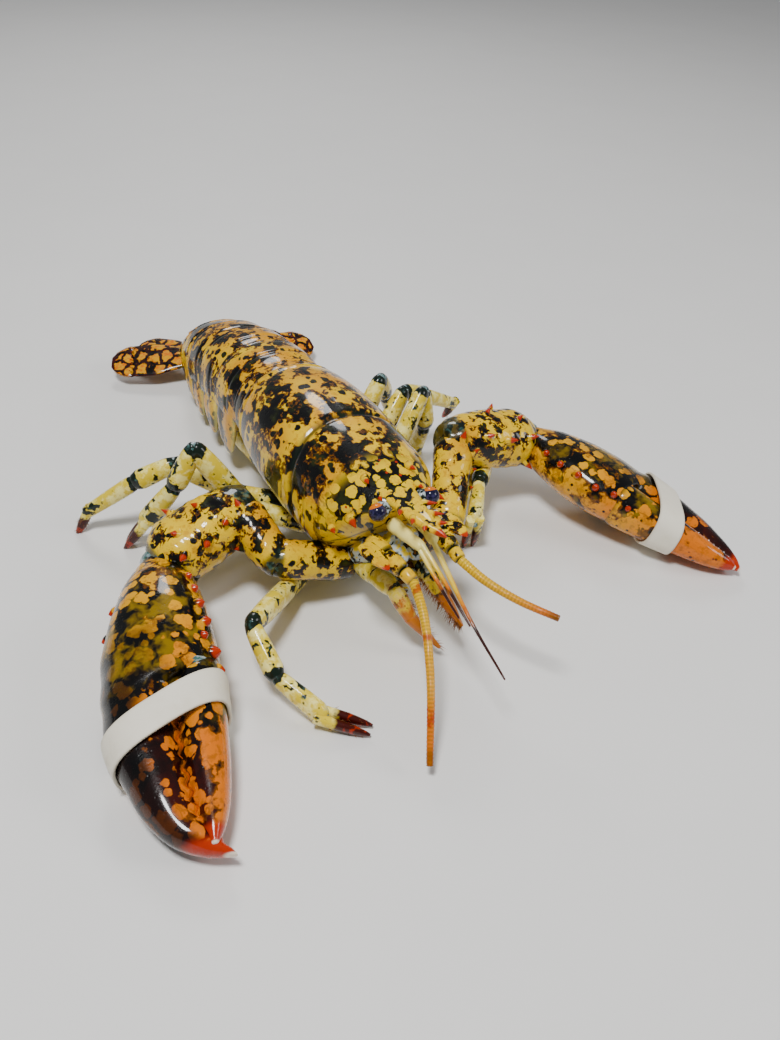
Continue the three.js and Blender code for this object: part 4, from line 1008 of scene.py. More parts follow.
def make_carapace():
    """The shell over head and chest, with the groove across the neck, and the beak with its spines."""
    depth = bpy.context.scene.lobster_sizes.neck_groove * PER_METRE
    material = calico("carapace_shell", (1, 0.8, 0.9), 9.5, 0.5, warm=0.75, blots=5.0, body=True)
    cheek_y, fold_y, neck_y = SOCKET_Y + 22, SOCKET_Y + 36, SOCKET_Y + 49

    def plate(spots, y, turn):
        above = np.sin(turn)
        flank = ease(-0.75, -0.2, above)
        groove = hump(y - neck_y, 1.5) * flank * depth
        fold = hump(y - fold_y, 2.2) * hump(above - 0.12, 0.35) * 0.8
        seam = hump(spots[:, 0], 0.5) * (above > 0) * ease(SOCKET_Y + 12, SOCKET_Y + 30, y) * 0.25
        collar = ease(SHELL_REAR_Y - 4.5, SHELL_REAR_Y - 3.2, y) * 0.35
        crease = hump(y - (SHELL_REAR_Y - 5), 0.8) * 0.5
        swell = (hump(y - cheek_y, 9) * hump(above - 0.45, 0.5)) * 0.5
        push = -groove - fold - seam + (collar - crease) * flank * 0.8 + swell - 0.3
        near = ease(0.5, 6, np.hypot(spots[:, 0], spots[:, 2] - SHELL_MIDDLE_Z))
        spots += outward(spots, SHELL_MIDDLE_Z) * (push * near)[:, None]
        # Painted shade: the lowest band of the shell behind the head, under its lower edge, darkened with
        # the joint colours.
        under = ease(-0.62, -0.75, above) * ease(SOCKET_Y + 16, SOCKET_Y + 28, y)
        # Painted shade: a dark line along the lower margin groove, which has no shape of its own here.
        painted_margin_shade = hump(above + 0.5, 0.03) * 0.9
        # rim carries painted shade in the neck groove and on the margin line; joint carries painted shade
        # under the lower edge.
        return {"joint": under * 0.9, "rim": np.maximum(groove / depth * 0.85, painted_margin_shade)}

    parts = [lofted(SHELL, Matrix(), 120, 130, plate)]

    def beak(spots, y, turn):
        hollow = ease(SOCKET_Y - 24, SOCKET_Y - 10, y) * 0.9
        spots[:, 2] -= hump(spots[:, 0], 1.6) * (np.sin(turn) > 0) * hollow
        return {"tip": ease(SOCKET_Y - 19, SOCKET_Y - 26, y) * 0.95, "along": 0.0, "top": 0.0}

    parts.append(lofted(ROSTRUM, Matrix(), 32, 50, beak, round_off=0.2))
    for _, sign in SIDES:
        for back, length in ROSTRUM_SPINES:
            at, _ = ROSTRUM.skin(SOCKET_Y - back, 20 if sign > 0 else 160)
            parts.append(spike(at, (sign * 0.75, -1, 0.45), length, ROSTRUM_SPINE_RADIUS))
        for x, y, z, length, radius in FACE_SPINES:
            parts.append(spike((sign * x, SOCKET_Y + y, z), (sign * 0.2, -1, 0.15), length, radius))
    build("carapace", parts, material, ["carapace"])


def make_sternum():
    """The plate under the chest, ridged between the legs."""
    material = pale_plate("chest_plate")
    spacing, height = 16, 0.6

    def ridges(spots, y, turn):
        waves = np.cos((y + 20) * TAU / spacing) * height
        spots[:, 2] += np.where(np.sin(turn) < 0, -waves, 0) * hump(spots[:, 0], 9)

    parts = [lofted(STERNUM, Matrix(), 48, 60, ridges)]
    build("sternum", parts, material, ["sternum"])


def make_eyes():
    """The eyeballs on their stalks, each with a coloured brow and a pale collar."""
    material = eye_finish("eye_lens")
    for side, sign in SIDES:
        centre = Vector((sign * EYE["x"], EYE["y"], EYE["z"]))
        root = Vector((sign * 4.5, EYE["y"] + 3, EYE["z"] - 1))
        eyeball = ball(centre, EYE["radius"] * 0.98, sides=40, rings=28)
        around = (eyeball.spots - np.array(centre)) / EYE["radius"]
        brow = around @ np.array(Vector((sign * 0.1, 0.55, 0.8)).normalized())
        eyeball.marks["rim"] = ease(0.45, 0.75, brow)
        path = [root, centre.lerp(root, 0.4), centre]
        stalk = feeler(path, EYE["stalk"] - 0.3, EYE["stalk"], 10, 20, joint=1.0)
        collar = ball(centre.lerp(root, 0.42), EYE["collar"], sides=24, rings=14, joint=1.0)
        build(f"eye_{side}", [eyeball, stalk, collar], material, [f"eye_{side}"])


def tergite(size, where, last):
    """A tail segment: a broad arch with a raised rear band, and a lobe hanging down at either side."""
    length, wide, tall, low = size["length"], size["wide"], size["tall"], size["low"]
    rear, lip = (0.82, 0.7) if last else (0.995, 0.955)
    form = Form([
        cut(-LAP, wide * 0.9, tall * 0.9, low * 0.8, power=BODY_POWER),
        cut(1.5, wide * 0.955, tall * 0.955, low * 0.9, power=BODY_POWER),
        cut(length * 0.45, wide, tall, low, power=BODY_POWER),
        cut(length - 0.6, wide * 0.995, tall * rear, low * 0.95, power=BODY_POWER),
        cut(length + 1.6, wide * 0.955, tall * lip, low * 0.85, power=BODY_POWER),
    ])

    def plate(spots, y, turn):
        above = ease(-0.3, 0.1, np.sin(turn))
        step = hump(y - length * 0.34, 1.0) * 0.5 + ease(length * 0.34, length * 0.1, y) * 0.35
        crease = hump(y - (length - 1.6), 0.9) * 0.35
        spots -= outward(spots) * ((step + crease) * above)[:, None]

    parts = [lofted(form, where, 96, 44, plate, round_off=0.6)]
    if not size["lobe"]:
        return parts
    broad, reach = size["broad"], size["lobe"] + 4
    lobe = Form([
        cut(0, broad * 1.05, 2.2), cut(reach * 0.45, broad * 1.05, 2.6, z=0.8),
        cut(reach * 0.75, broad * 0.8, 1.9, z=0.6), cut(reach * 0.93, broad * 0.45, 1.2),
        cut(reach, broad * 0.16, 0.6),
    ])

    def leaf(spots, y, turn):
        dish = hump(spots[:, 0], broad * 0.35) * (np.sin(turn) > 0) * 0.5
        spots[:, 2] -= dish * ease(reach, reach * 0.6, y)
        edge = np.maximum(np.abs(np.cos(turn)) ** 8, ease(reach * 0.9, reach, y))
        return {"rim": edge, "joint": edge * ease(reach * 0.35, reach * 0.6, y) * 0.35}

    turned = where.to_3x3()
    for _, sign in SIDES:
        root = where @ Vector((sign * (wide - 3.2), length * 0.5, 4))
        down, face = turned @ Vector((sign * 0.06, 0.1, -1)), turned @ Vector((sign, 0, 0))
        parts.append(lofted(lobe, frame_of(root, down, face), 40, 36, leaf, round_off=0.4))
    return parts


def make_tail():
    """The six segments of the tail."""
    material = calico("tail_shell", (1, 1, 0.8), 8.5, 0.5, warm=0.85, blots=4.6)
    frames, _ = tail_frames()
    for number, (size, where) in enumerate(zip(TAIL_SEGMENTS, frames), start=1):
        name = f"tail_segment_{number}"
        build(name, tergite(size, where, number == len(frames)), material, [name])


def make_swimmerets():
    """The small paired limbs under the tail, which the solids leave out."""
    material = leg_shell("swimmeret_skin")
    hair = bristle_finish("swimmeret_fringe")
    leaf = Form([cut(0, 1.1, 0.8), cut(4, 2.4, 0.8), cut(9, 2.6, 0.6), cut(12.5, 0.8, 0.3)])
    frames, _ = tail_frames()
    parts, fringe = [], []
    for size, where in list(zip(TAIL_SEGMENTS, frames))[1:5]:
        for _, sign in SIDES:
            root = where @ Vector((sign * size["wide"] * 0.42, size["length"] * 0.5, -size["low"] + 2))
            along = where.to_3x3() @ Vector((sign * 0.25, 0.8, -0.55))
            for spread in (-0.384, 0.384):
                turned = frame_of(root, along + where.to_3x3() @ Vector((spread, 0, 0)))
                parts.append(lofted(leaf, turned, 20, 16, round_off=0.2, joint=0.1))
                for k in range(-3, 4):
                    at = turned @ Vector((k * 0.7, 12.2 - abs(k) * 0.8, 0))
                    way = turned.to_3x3() @ Vector((k * 0.16, 1, 0))
                    fringe.append(spike(at, way, 1.6, 0.12, 0.3, sides=4))
    build("swimmerets", parts, material)
    build("swimmeret_fringe", fringe, hair)


def vane(length, wide, thick, where, jointed):
    """One vane of the fan, ribbed along its middle. A jointed one has a toothed seam across it."""
    form = Form([
        cut(-2, wide * 0.45, thick), cut(length * 0.2, wide * 0.72, thick * 1.15),
        cut(length * 0.5, wide, thick), cut(length * 0.78, wide * 0.95, thick * 0.8),
        cut(length * 0.93, wide * 0.66, thick * 0.6), cut(length, wide * 0.3, thick * 0.4),
    ])
    seam_depth = 0.55 if jointed else 0.0

    def plate(spots, y, turn):
        upper = np.sin(turn) > 0
        rib = hump(spots[:, 0], 1.3) * 0.45 * ease(length, length * 0.6, y)
        grooves = (hump(np.abs(spots[:, 0]) - wide * 0.42, 0.8)) * 0.3
        seam = hump(y - length * 0.74, 0.6) * seam_depth
        spots[:, 2] += np.where(upper, rib - grooves - seam - 0.25, -rib * 0.5 + 0.15)
        flanks = np.abs(np.cos(turn)) ** 10 * ease(0, length * 0.3, y)
        edge = np.maximum(flanks, ease(length * 0.9, length * 0.985, y))
        return {"rim": edge, "joint": ease(length * 0.2, length * 0.02, y) * 0.6}

    parts = [lofted(form, where, 72, 60, plate, round_off=0.35)]
    if jointed:
        at, _ = form.skin(length * 0.745, 90)
        for k in range(-3, 4):
            at.x = k * wide * 0.24
            way = where.to_3x3() @ Vector((0, 1, 0.25))
            parts.append(spike(where @ at, way, 1.1, 0.6, 0.5, sides=6))
    return form, parts


def make_fan():
    """The telson and the four vanes beside it, with the fringe round their ends."""
    material = fan_shell("fan_shell")
    hair = bristle_finish("fan_fringe")
    _, vanes = tail_frames()
    fringe = []
    for key, where in vanes.items():
        kind, _, side = key.partition("_")
        length, wide, thick = FAN[kind]
        form, parts = vane(length, wide, thick, where, kind == "outer")
        name = "telson" if kind == "telson" else f"tail_fan_{kind}_{side}"
        build(name, parts, material, [name])
        for share in np.linspace(0.76, 0.95, 26):
            for sign, turn in ((-1, math.pi), (1, 0)):
                at = where @ Vector(form.point(share * length, turn)[0])
                way = where.to_3x3() @ Vector((sign * (1.1 - share) * 3.2, 1, 0))
                fringe.append(spike(at, way, 0.9, 0.14, 0.4, sides=4, along=0.7))
    build("fan_fringe", fringe, hair)


def bulged(ends, swell=0.12):
    """A length that is thicker in its middle than at its ends."""
    return lambda t: ends + swell * np.sin(t * math.pi)


def short_feeler(path):
    """A stalk of three joints with its two whips."""
    def knuckles(t):
        return 1 + 0.12 * np.abs(np.sin(t * 3 * math.pi))

    def ripples(t):
        return 1 + 0.05 * np.sin(t * 400)

    stalk = feeler(path["stalk"], 2.75, 1.85, 30, 20, knuckles, along=0.05)
    return [stalk, *(feeler(whip, 1.02, 0.36, 120, 12, ripples) for whip in path["whips"])]


def feeler_base(base, sign):
    """The three joints at the root of a long feeler, and the scale over them."""
    parts = [
        feeler([base[0], base[1]], 4.7, 4.1, 16, 28, bulged(0.9)),
        feeler([base[1], base[2]], 3.5, 3.2, 16, 28, bulged(0.92)),
        feeler([base[2], base[3]], 2.6, 2.4, 12, 24, bulged(0.92)),
    ]
    for part in parts:
        along = part.marks["along"]
        part.marks["joint"] = np.maximum(ease(0.2, 0.0, along), ease(0.85, 1.0, along))
    base_frame = frame_of(base[0], Vector(base[3]) - Vector(base[0]))
    root = base_frame @ Vector((sign * -5, 3, 3.4))
    way = base_frame.to_3x3() @ Vector((sign * -0.1, 1, 0.05))
    scale = Form([
        cut(-1, 3.2, 1.4), cut(4, 4, 1.5), cut(8, 3.4, 1.3), cut(12, 1.9, 0.9), cut(14, 0.5, 0.5),
    ])

    def leaf(spots, y, turn):
        spots[:, 2] -= hump(spots[:, 0], 1.4) * (np.sin(turn) > 0) * 0.5
        return {"tip": ease(10.5, 14, y) * 0.8}

    parts.append(lofted(scale, frame_of(root, way), 36, 36, leaf, round_off=0.3))
    return parts


def ringed_whip(path, spacing):
    """A long feeler with rings this far apart, in millimetres."""
    run = sum((Vector(b) - Vector(a)).length for a, b in zip(path, path[1:]))
    count, points_per_ring = int(run / spacing), 6

    def waves(t):
        return np.cos(t * count * TAU)

    rings = count * points_per_ring + 1
    part = feeler(path, 1.88, 1.23, rings, 20, lambda t: 0.97 + 0.035 * waves(t))
    part.marks["rim"] = 0.5 - 0.5 * waves(part.marks["along"])
    return part


def make_feelers():
    """The short feelers, and the long ones with their bases."""
    spacing = bpy.context.scene.lobster_sizes.feeler_rings * PER_METRE
    short = feeler_shell("short_feeler")
    long_skin = feeler_shell("long_feeler", True)
    plates = calico("feeler_base_shell", (1, 1, 1), 4.2, 0.46, warm=0.25)
    for side, sign in SIDES:
        name = f"antennule_{side}"
        build(name, short_feeler(SHORT_FEELERS[side]), short, [name])
        path = LONG_FEELERS[side]
        name = f"antenna_base_{side}"
        build(name, feeler_base(path["base"], sign), plates, [name])
        name = f"antenna_{side}"
        build(name, [ringed_whip(path["whip"], spacing)], long_skin, [name])


def make_jaws():
    """The outer jaws, with their rows of bristles, and the smaller mouthparts behind them."""
    reach = bpy.context.scene.lobster_sizes.bristle_length * PER_METRE
    plates = leg_shell("jaw_shell", True)
    hair = bristle_finish("jaw_bristles")
    pale = pale_plate("mouth_plate")
    seeds = np.random.default_rng(JAW_SEED)
    bristles = []

    def belly(t):
        return 0.86 + 0.14 * np.sin(np.clip(t * 1.1, 0, 1) * math.pi)

    for side, sign in SIDES:
        path = [Vector(p) for p in JAWS[side]]
        inward = Vector((-sign, -0.25, -0.55))
        parts = []
        for i, (start, end) in enumerate(zip(path, path[1:])):
            line = end - start
            root, tip = JAW_RADII[i], JAW_RADII[i + 1]
            overlap = line.normalized() * 1.6
            part = feeler([start - overlap, end], root * 0.99, tip * 0.99, 24, 28, belly)
            along = part.marks["along"]
            part.marks["joint"] = ease(0.92, 1.0, along) * 0.5
            part.marks["tip"] = np.clip((i + along - 1) * 0.26, 0, 1)
            parts.append(part)
            if i == 0:
                continue
            for _ in range(BRISTLES_PER_JOINT):
                share = seeds.uniform(0.05, 0.97)
                spread = Vector(seeds.normal(0, 0.45, 3))
                out = (inward + spread).normalized()
                at = start + line * share + out * (root + (tip - root) * share) * 0.86
                lean = out + line.normalized() * 0.5
                length = reach * seeds.uniform(0.6, 1.1)
                bristles.append(spike(at, lean, length, 0.13, 0.4, sides=4, along=0.4))
        build(f"outer_jaw_{side}", parts, plates, [f"outer_jaw_{side}"])
    build("jaw_bristles", bristles, hair)
    mouth = []
    for _, sign in SIDES:
        for path, root, tip in MOUTHPARTS:
            mouth.append(feeler([(sign * x, y, z) for x, y, z in path], root, tip, 20, 18))
        mouth.append(ball((sign * 3.6, -62, 35), 4.6, (1, 1.2, 0.8)))
    build("mouthparts", mouth, pale)


def arm_forms(ischium, merus, carpus):
    """The three lengths of a claw's arm, each with its form, its spines and its sides and rings."""
    return {
        "ischium": (
            Form([cut(-2, 6, 6), cut(4, 7, 7), cut(ischium - 4, 7.6, 7.6), cut(ischium + 1.5, 6, 6)]),
            [], 40, 30,
        ),
        "merus": (
            Form([
                cut(-4, 5.4, 5.6), cut(3, 7.4, 7.4), cut(merus * 0.55, 8, 8.4), cut(merus - 6, 8.6, 9),
                cut(merus - 1, 6.6, 7),
            ]),
            [
                (merus - 4, 70, 4.6, 2), (merus - 7, 20, 3.6, 1.7), (merus * 0.45, -20, 3, 1.6),
                (merus * 0.68, -20, 3.4, 1.7),
            ], 56, 48,
        ),
        "carpus": (
            Form([
                cut(-7, 6.5, 6.5), cut(-1, 10.2, 9.6), cut(carpus * 0.4, 13.4, 12),
                cut(carpus - 8, 13.8, 12), cut(carpus - 1, 9.6, 9.4), cut(carpus + 2, 6, 6),
            ]),
            [
                (carpus - 8, 35, 4.6, 2), (carpus * 0.5, 30, 4.4, 2), (carpus * 0.22, 40, 4, 1.9),
                (carpus * 0.7, 75, 3.6, 1.8), (carpus * 0.35, 95, 3.4, 1.8),
                (carpus * 0.6, 140, 3.8, 1.8), (carpus - 6, -25, 4.4, 2),
            ], 64, 52,
        ),
    }


def arm_plate(length):
    """A sculpt for one length of an arm: a lumpy shell with dark ends."""
    def plate(spots, y, turn):
        lumps = np.sin(y * 0.9 + turn * 2) * np.sin(turn * 3 + y * 0.4) * 0.25
        spots *= 1 + (lumps / 14)[:, None] * np.array([1, 0, 1])
        return {"joint": np.maximum(ease(length - 1.6, length, y), ease(1.0, -1.5, y)) * 0.9}
    return plate


def make_claw(side):
    """One claw with its arm, the skin in its joints and its band."""
    claw = CLAWS[side]
    inward = claw["inward"]
    heavy = shared("claw_shell", claw_shell)
    arm = shared("arm_shell", calico, patch=6.5, dark_share=0.48, warm=0.35, blots=4.8)
    skin = shared("joint_skin", soft_skin)
    frames = stride(claw["root"], claw["steps"])
    lengths = [step[0] for step in claw["steps"][:3]]
    palm_at = frames[3]

    def mirrored(rows):
        return [(y, turn if inward > 0 else 180 - turn, *size) for y, turn, *size in rows]

    for kind, where, length in zip(("ischium", "merus", "carpus"), frames, lengths):
        form, spines, sides, rings = arm_forms(*lengths)[kind]
        name = f"claw_{kind}_{side}"
        parts = [lofted(form, where, sides, rings, arm_plate(length))]
        parts += spikes_on(form, where, mirrored(spines))
        build(name, parts, arm, [name])

    palm = Form(claw["palm"], inward)
    finger = Form(claw["finger"], inward)
    split, depth, width = claw["split"], claw["tooth_depth"], claw["tooth_width"]

    def biting(inner, y, end):
        return ease(0.72, 0.97, inner) * ease(split + 6, split + 10, y) * ease(end - 1, end - 6, y)

    def palm_skin(spots, y, turn):
        end = palm.end
        inner = np.cos(turn) * inward
        outer = ease(0.6, 0.98, -inner)
        swell = (np.sin(y * 0.33 + turn * 2) * np.sin(turn * 2.0 - y * 0.11)) * 0.35
        keel = outer * hump(np.sin(turn), 0.35) * 0.3
        spots *= 1 + ((swell * 0.5 + keel - 0.25) / 18)[:, None] * np.array([1, 0, 1])
        bite = biting(inner, y, end)
        teeth = 0.5 + 0.5 * np.cos((y - split) * TAU / width)
        spots[:, 0] += inward * bite * (teeth * depth - 0.3)
        return {
            "rim": np.maximum(bite * 0.9, ease(split + 30, end, y) * 0.2) + outer * 0.25,
            "tip": ease(end - 10, end + 0.3, y) + bite * teeth * 0.3,
            "joint": ease(3.0, 0.0, y),
            "side": inner,
        }

    def finger_skin(spots, y, turn):
        start, end = finger.start, finger.end
        inner = np.cos(turn) * inward
        bite = biting(-inner, y, end)
        teeth = 0.5 - 0.5 * np.cos((y - split) * TAU / width)
        spots[:, 0] -= inward * bite * (teeth * depth - 0.3)
        return {
            "along": ease(start - 20, end, y),
            "rim": ease(-0.6, 0.4, inner) * ease(split + 18, split + 34, y) + bite * 0.4,
            "tip": ease(end - 10, end + 0.3, y) + bite * teeth * 0.3,
            "joint": ease(start + 6, start + 2, y),
            "side": 1.0,
        }

    for kind, form, knobs, sculpt, sides, rings in (
        ("palm", palm, "knobs", palm_skin, 96, 150),
        ("finger", finger, "finger_knobs", finger_skin, 64, 100),
    ):
        name = f"claw_{kind}_{side}"
        parts = [lofted(form, palm_at, sides, rings, sculpt, round_off=0.5)]
        parts += spikes_on(form, palm_at, mirrored(claw[knobs]), 0.35, fullness=2.0)
        build(name, parts, heavy, [name])

    reaches = (lengths[0], lengths[1] - 1, lengths[2])
    cushions = [
        ball(frame_of(at @ Vector((0, reach, 0)), onward.to_3x3() @ BACK), radius, (1, 0.8, 1))
        for at, reach, onward, radius in zip(frames, reaches, frames[1:], (6.4, 7.6, 7.4))
    ]
    axes = palm_at.to_3x3()
    hinge = frame_of(palm_at @ Vector((inward * 3.0, split - 1, 0)), axes @ BACK, axes @ UP)
    cushions.append(ball(hinge, claw["hinge"], (0.8, 0.5, 1)))
    build(f"claw_joint_skin_{side}", cushions, skin)
    make_band(side, palm, finger, palm_at)


def make_band(side, palm, finger, palm_at):
    """A rubber band: an open ring round both fingers, given its thickness and its rounded edges."""
    claw = CLAWS[side]
    inward = claw["inward"]
    sizes = bpy.context.scene.lobster_sizes
    width, thick = sizes.band_width * PER_METRE, sizes.band_thickness * PER_METRE
    lean = math.radians(claw["band_lean"] * inward)
    outer_turn, inner_turn = (math.pi, 0) if inward > 0 else (0, math.pi)

    def around(y, turn):
        outer = palm.point(y, np.full_like(y, outer_turn))[:, 0]
        inner = finger.point(y, np.full_like(y, inner_turn))[:, 0]
        crown = palm.point(y, np.full_like(y, math.pi / 2))[:, 2]
        belly = palm.point(y, np.full_like(y, -math.pi / 2))[:, 2]
        middle, half = (outer + inner) / 2, np.abs(inner - outer) / 2 + BAND_SIDE_GAP
        across, above = squared(np.cos(turn), BAND_POWER), squared(np.sin(turn), BAND_POWER)
        height = np.where(above > 0, crown, -belly) * BAND_BULGE + BAND_GAP
        return np.stack([middle + across * half, y, above * height], axis=1)

    rings, sides = 15, 144
    mesh, ring, turn, _ = tube(sides, rings, closed=False)
    share = np.linspace(-0.5, 0.5, rings)[ring]
    y = claw["band_at"] + share * width
    for _ in range(BAND_FITS):
        spots = around(y, turn)
        y = claw["band_at"] + (share * width - math.sin(lean) * spots[:, 0]) / math.cos(lean)
    spots = moved(palm_at, around(y, turn))
    spots[:, 2] = np.maximum(spots[:, 2], thick)
    part = Part(mesh, spots, rim=np.abs(share) * 2)
    material = shared("band_rubber", rubber)
    band = build(f"band_{side}", [part], material, [f"band_{side}"])
    wall = band.modifiers.new("wall", "SOLIDIFY")
    wall.thickness = thick / PER_METRE
    wall.offset = 1.0
    edge = band.modifiers.new("edge", "BEVEL")
    edge.width = BAND_EDGE / PER_METRE
    edge.segments = 2
    edge.limit_method = "ANGLE"


def make_claws():
    """Both claws."""
    for side, _ in SIDES:
        make_claw(side)


def make_leg(side, sign, number, material, skin_parts, hairs, seeds):
    """One walking leg. Adds its joints' skin and the hairs of its toes to what the legs share."""
    *lengths, pincer = LEG_SIZES[number]
    root, *turns = LEG_STANCES[side][number]
    frames = stride(root, [(length, *turn) for length, turn in zip(lengths, turns)])
    ischium, merus, carpus, palm, toe = lengths
    ischium_at, merus_at, carpus_at, palm_at, toe_at = frames
    palm_wide, palm_tall, hair_count = (3.3, 4.3, 34) if pincer else (2.4, 2.9, 46)
    shifts = (-PINCER_SPREAD, PINCER_SPREAD) if pincer else (0,)

    def dark_ends(length, near=3.2):
        def mark(spots, y, turn):
            return {"joint": np.maximum(ease(near, 0, y), ease(length - near, length, y))}
        return mark

    def toe_marks(spots, y, turn):
        return {"tip": ease(-1, toe * 0.7, y)}

    def palm_marks(spots, y, turn):
        return {"joint": ease(3.0, 0, y), "tip": ease(palm * 0.45, palm * 1.2, y) * 0.35}

    ischium_form = Form([cut(-3, 3.6, 4), cut(5, 3.8, 4.4), cut(ischium + 1.5, 3.2, 4)])
    merus_form = Form([
        cut(-2, 3, 3.6), cut(4, 3.6, 4.4), cut(merus * 0.6, 3.8, 4.8), cut(merus - 1, 3.2, 4),
        cut(merus + 1.5, 2, 2.8),
    ])
    carpus_form = Form([
        cut(-2, 2, 2.4), cut(3, 3.2, 3.8), cut(carpus - 3, 3.8, 4.4), cut(carpus + 1, 2.6, 3.2),
    ])
    palm_form = Form([
        cut(-2, 1.8, 2.2), cut(3, 2.8, 3.5), cut(palm - 3, palm_wide, palm_tall), cut(palm + 1, 2.1, 2.7),
    ])
    toe_form = Form([
        cut(-3, 1.8, 2.2), cut(toe * 0.4, 1.7, 2.1), cut(toe * 0.8, 1.1, 1.4), cut(toe, 0.5, 0.5),
    ])
    pieces = {
        "upper": [
            lofted(ischium_form, ischium_at, 28, 24, dark_ends(ischium)),
            lofted(merus_form, merus_at, 28, 36, dark_ends(merus)),
        ],
        "wrist": [lofted(carpus_form, carpus_at, 28, 28, dark_ends(carpus))],
        "foot": [lofted(palm_form, palm_at, 28, 32, palm_marks)],
    }
    for shift in shifts:
        shifted = toe_at @ Matrix.Translation((sign * shift, 0, 0))
        pieces["foot"].append(lofted(toe_form, shifted, 24, 28, toe_marks, round_off=0.25))
    for kind, parts in pieces.items():
        name = f"leg_{side}_{number}_{kind}"
        build(name, parts, material, [name])

    for at, radius in zip(frames[1:], (3.5, 2.6, 2.2, 1.9)):
        joint = frame_of(at.translation, at.to_3x3() @ BACK)
        skin_parts.append(ball(joint, radius, (1, 1, 1.15), 20, 12))
    for _ in range(hair_count):
        share = seeds.uniform(0.15, 0.85)
        angle = seeds.uniform(0, 360)
        at, out = toe_form.skin(toe * share, angle)
        if pincer:
            at.x += sign * seeds.choice((-1, 1)) * PINCER_SPREAD
        lean = toe_at.to_3x3() @ (out + BACK * 1.2)
        hairs.append(spike(toe_at @ at, lean, seeds.uniform(0.9, 1.7), 0.1, 0.3, sides=4, along=0.2))


def make_legs():
    """The eight walking legs, with the skin in their joints and the hairs on their toes."""
    material = leg_shell("leg_shell")
    skin = shared("joint_skin", soft_skin)
    hair = bristle_finish("leg_hair")
    seeds = np.random.default_rng(LEG_SEED)
    skin_parts, hairs = [], []
    for side, sign in SIDES:
        for number in LEG_SIZES:
            make_leg(side, sign, number, material, skin_parts, hairs, seeds)
    build("leg_joint_skin", skin_parts, skin)
    build("leg_hair", hairs, hair)


# Stage

CAMERA_AT = (-145.1, -285.3, 265.0)
CAMERA_YAW = 31.7
CAMERA_PITCH = 39.0
CAMERA_ROLL = 3.5
FOCAL_SHARE = 950 / 1040
SENSOR = 36
FLOOR_REACH = 3.0
CLOUD_GREY = (0.74, 0.73, 0.71)
SKY = (0.85, 0.87, 0.9)
SKY_STRENGTH = 0.26
# Each lamp by its place in metres, its width and its power
LAMPS = {
    "key_light": ((-0.30, -0.25, 0.95), 0.22, 10.0),
    "fill_light": ((0.70, -0.60, 0.60), 0.4, 3.2),
    "back_light": ((0.25, 0.80, 0.75), 0.3, 3.0),
}
LAMP_AIM = (0, 0, 0.02)


def floor_finish(name):
    """A matt pale floor with the faintest clouds."""
    finish = Finish(name)
    cloud = finish.noise(finish.place(), 60.0, 3.0)
    colour = finish.mixed(cloud.between(0.3, 0.7) * 0.25, colours().floor, CLOUD_GREY)
    return finish.close(colour, 0.5 + cloud * 0.1)


def make_floor(scene):
    """The plain floor that the lobster stands on."""
    bm = bmesh.new()
    bmesh.ops.create_grid(bm, x_segments=2, y_segments=2, size=FLOOR_REACH)
    mesh = bpy.data.meshes.new("floor")
    bm.to_mesh(mesh)
    bm.free()
    floor = bpy.data.objects.new("floor", mesh)
    mesh.materials.append(floor_finish("studio_floor"))
    scene.collection.objects.link(floor)


def make_lights(scene):
    """Three soft round lamps and a pale sky."""
    for name, (at, width, power) in LAMPS.items():
        light = bpy.data.lights.new(name, "AREA")
        light.shape = "DISK"
        light.energy, light.size = power, width
        lamp = bpy.data.objects.new(name, light)
        lamp.location = at
        lamp.rotation_mode = "QUATERNION"
        lamp.rotation_quaternion = (Vector(LAMP_AIM) - Vector(at)).to_track_quat("-Z", "Y")
        scene.collection.objects.link(lamp)
    world = bpy.data.worlds.new("studio")
    world.use_nodes = True
    sky = world.node_tree.nodes["Background"].inputs
    sky["Color"].default_value = (*SKY, 1)
    sky["Strength"].default_value = SKY_STRENGTH
    scene.world = world


def make_camera(scene):
    """The camera, at the photograph's angle."""
    pitch, roll, yaw = (math.radians(v) for v in (CAMERA_PITCH, CAMERA_ROLL, CAMERA_YAW))
    forward = Vector((0, math.cos(pitch), -math.sin(pitch)))
    right = Vector((1, 0, 0))
    up = right.cross(forward)
    right, up = (
        right * math.cos(roll) + up * math.sin(roll),
        up * math.cos(roll) - right * math.sin(roll),
    )
    turned = Matrix.Rotation(-yaw, 3, "Z")
    axes = Matrix((turned @ right, turned @ up, turned @ -forward)).transposed().to_4x4()
    axes.translation = (HOME @ Vector(CAMERA_AT)) / PER_METRE
    camera = bpy.data.cameras.new("camera")
    camera.sensor_width = SENSOR
    camera.lens = SENSOR * FOCAL_SHARE
    camera.clip_start, camera.clip_end = 0.01, 20
    viewer = bpy.data.objects.new("camera", camera)
    viewer.matrix_world = axes
    scene.collection.objects.link(viewer)
    scene.camera = viewer


def make_stage():
    """The floor, the lights and the camera."""
    scene = bpy.context.scene
    make_floor(scene)
    make_lights(scene)
    make_camera(scene)


# Operators

class LOBSTER_OT_stage(bpy.types.Operator):
    """Makes the floor, the lights and the camera"""

    bl_idname = "lobster.stage"
    bl_label = "Stage"

    def execute(self, context):
        make_stage()
        return {"FINISHED"}


class LOBSTER_OT_carapace(bpy.types.Operator):
    """Makes the carapace with its rostrum and spines"""

    bl_idname = "lobster.carapace"
    bl_label = "Carapace"

    def execute(self, context):
        make_carapace()
        return {"FINISHED"}


class LOBSTER_OT_sternum(bpy.types.Operator):
    """Makes the plate under the chest"""

    bl_idname = "lobster.sternum"
    bl_label = "Chest plate"

    def execute(self, context):
        make_sternum()
        return {"FINISHED"}


class LOBSTER_OT_eyes(bpy.types.Operator):
    """Makes the eyes on their stalks"""

    bl_idname = "lobster.eyes"
    bl_label = "Eyes"

    def execute(self, context):
        make_eyes()
        return {"FINISHED"}


